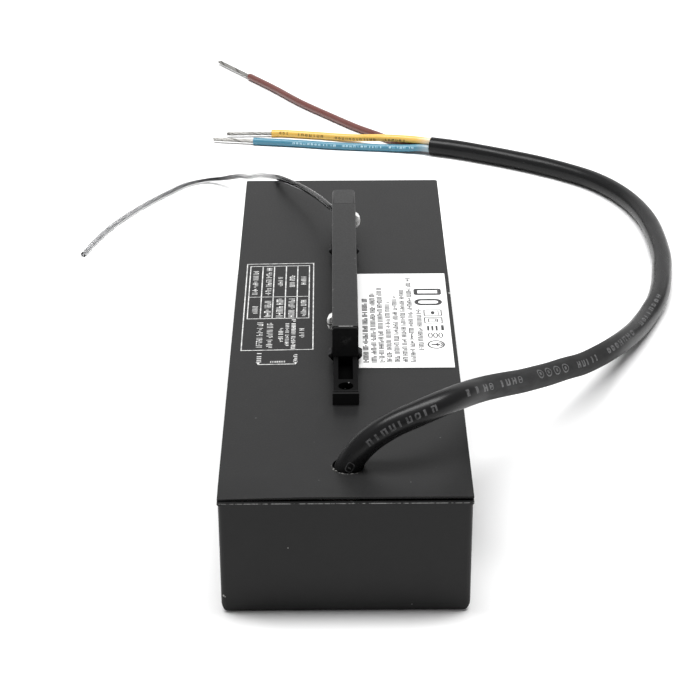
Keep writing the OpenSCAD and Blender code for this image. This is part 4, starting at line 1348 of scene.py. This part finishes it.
def heat_aluminium(s):
    """Sheet aluminium, brushed lengthwise."""
    v = s.stretch(s.place, 700, 50, 2600)
    line = s.noise(1.0, 3, 0.6, v)
    slow = s.noise(120, 3, 0.5)
    c = s.mix(slow, (0.62, 0.63, 0.64), (0.78, 0.79, 0.80))
    c = s.mix(s.band(line, 0.4, 0.7, 0.0, 0.35), c, (0.50, 0.51, 0.52))
    s.set(Base_Color=c, Metallic=1.0, Roughness=s.band(line, 0.3, 0.7, 0.26, 0.44))
    s.set(Normal=s.bump(line, 0.000015))


def nylon(s):
    """Natural nylon tie with its fine cross teeth."""
    x, y, z = s.split(s.place)
    _, c, _ = simple_finish(s, (0.74, 0.73, 0.68), 0.36, cloud=300, grain=1400)
    teeth = s.math("FRACT", s.math("MULTIPLY", s.math("ADD", x, y), 1300.0))
    # painted shade along one side of each cross tooth
    s.set(Base_Color=s.mix(s.band(teeth, 0.0, 0.3, 0.3, 0.0), c, (0.55, 0.54, 0.49)))
    s.set(Normal=s.bump(teeth, 0.00005))


def lead(colour):
    def build(s):
        _, c, _ = simple_finish(s, colour, 0.32, cloud=160, grain=1500, depth=0.00002)
        mark = s.band(s.noise(1.0, 2, 0.5, s.stretch(s.place, 500, 500, 160)),
                      0.62, 0.72, 0.0, 0.35)
        s.set(Base_Color=s.mix(mark, c, scaled(colour, 0.5)))
    return build


def inner_sheath(s):
    simple_finish(s, (0.014, 0.014, 0.0145), 0.36, cloud=120, grain=1800)


finishes = {
    "housing_paint": housing_paint, "lid_paint": lid_paint, "cover_paint": cover_paint,
    "black_plastic": black_plastic, "cap_plastic": cap_plastic, "sealant": sealant,
    "plate_white": plate_white, "liner_film": liner_film, "contact_metal": contact_metal,
    "screw_steel": screw_steel, "jacket_black": inner_sheath,
    "jacket_brown": lead((0.140, 0.052, 0.045)), "jacket_yellow": lead((0.78, 0.475, 0.085)),
    "jacket_blue": lead((0.048, 0.235, 0.375)), "strand_metal": screw_steel,
    "tether_jacket": inner_sheath, "lead_red": lead((0.45, 0.022, 0.020)),
    "lead_black": lead((0.012, 0.012, 0.0125)), "nylon": nylon, "tin": tin, "brass": brass,
    "board_green": board_green, "glass_fuse": glass_fuse,
    "disc_blue": dipped((0.030, 0.120, 0.400)), "disc_green": dipped((0.030, 0.070, 0.035)),
    "film_yellow": film_yellow, "ferrite": ferrite, "ferrite_yellow": ferrite_yellow,
    "copper_wire": copper_wire, "tape_yellow": tape_yellow, "chip_black": chip_black,
    "cap_sleeve": cap_sleeve, "heat_aluminium": heat_aluminium, "chip_white": chip_white}

done = {}
for name, o in nodes.items():
    for slot in o.material_slots:
        key = slot.material.name.split(".")[0]
        if key not in done:
            shader = Shader(slot.material)
            finishes[key](shader)
            done[key] = slot.material
        slot.material = done[key]


# ---------------------------------------------------------------- edges

def soften(name, width, segments=3, angle=35):
    """Breaks the sharp edges of a CAD piece by a hair, as a folded or moulded one has."""
    o = nodes[name]
    weld = o.modifiers.new("weld", "WELD")
    weld.merge_threshold = 0.000002
    bevel = o.modifiers.new("soft_edge", "BEVEL")
    bevel.width = width * MM
    bevel.segments = segments
    bevel.limit_method = "ANGLE"
    bevel.angle_limit = math.radians(angle)
    bevel.harden_normals = False
    bevel.miter_outer = "MITER_ARC"
    normal = o.modifiers.new("normals", "WEIGHTED_NORMAL")
    normal.mode = "FACE_AREA_WITH_ANGLE"
    normal.weight = 50
    normal.keep_sharp = False


for name, width, angle in (("lid_plate", 0.12, 40), ("housing_tray", 0.12, 40),
                           ("adapter_cover", 0.12, 40), ("adapter_end_cap", 0.15, 40),
                           ("adapter_base", 0.10, 40), ("adapter_core", 0.10, 40)):
    soften(name, width, angle=angle)


# ---------------------------------------------------------------- stage and light

def floor_and_light():
    s = Shader("floor_white")
    soft = s.noise(6, 2, 0.5)
    s.set(Base_Color=s.mix(soft, (0.90, 0.90, 0.90), (0.915, 0.915, 0.915)), Roughness=0.9,
          Specular_IOR_Level=0.1)
    r = 6.0
    floor = new_object("floor", [(-r, -r, 0), (r, -r, 0), (r, r, 0), (-r, r, 0)],
                       [(0, 1, 2, 3)], s.material, rides=False)

    world = bpy.data.worlds.new("dim_room")
    scene.world = world
    world.use_nodes = True
    back = world.node_tree.nodes["Background"]
    back.inputs["Color"].default_value = (1, 1, 1, 1)
    back.inputs["Strength"].default_value = 0.28

    def area(name, place, look_at, size_x, size_y, power):
        data = bpy.data.lights.new(name, "AREA")
        data.shape = "RECTANGLE"
        data.size, data.size_y = size_x, size_y
        data.energy = power
        o = bpy.data.objects.new(name, data)
        scene.collection.objects.link(o)
        direction = Vector(look_at) - Vector(place)
        o.matrix_world = Matrix.Translation(place) @ direction.to_track_quat(
            "-Z", "Y").to_matrix().to_4x4()
        return o

    area("softbox_top", (-0.04, 0.10, 0.95), (-0.04, 0.10, 0), 1.2, 0.35, 17.0)
    area("softbox_back", (0.0, 1.45, 0.52), (0.0, 0.0, 0.05), 2.6, 0.85, 5.2)


floor_and_light()
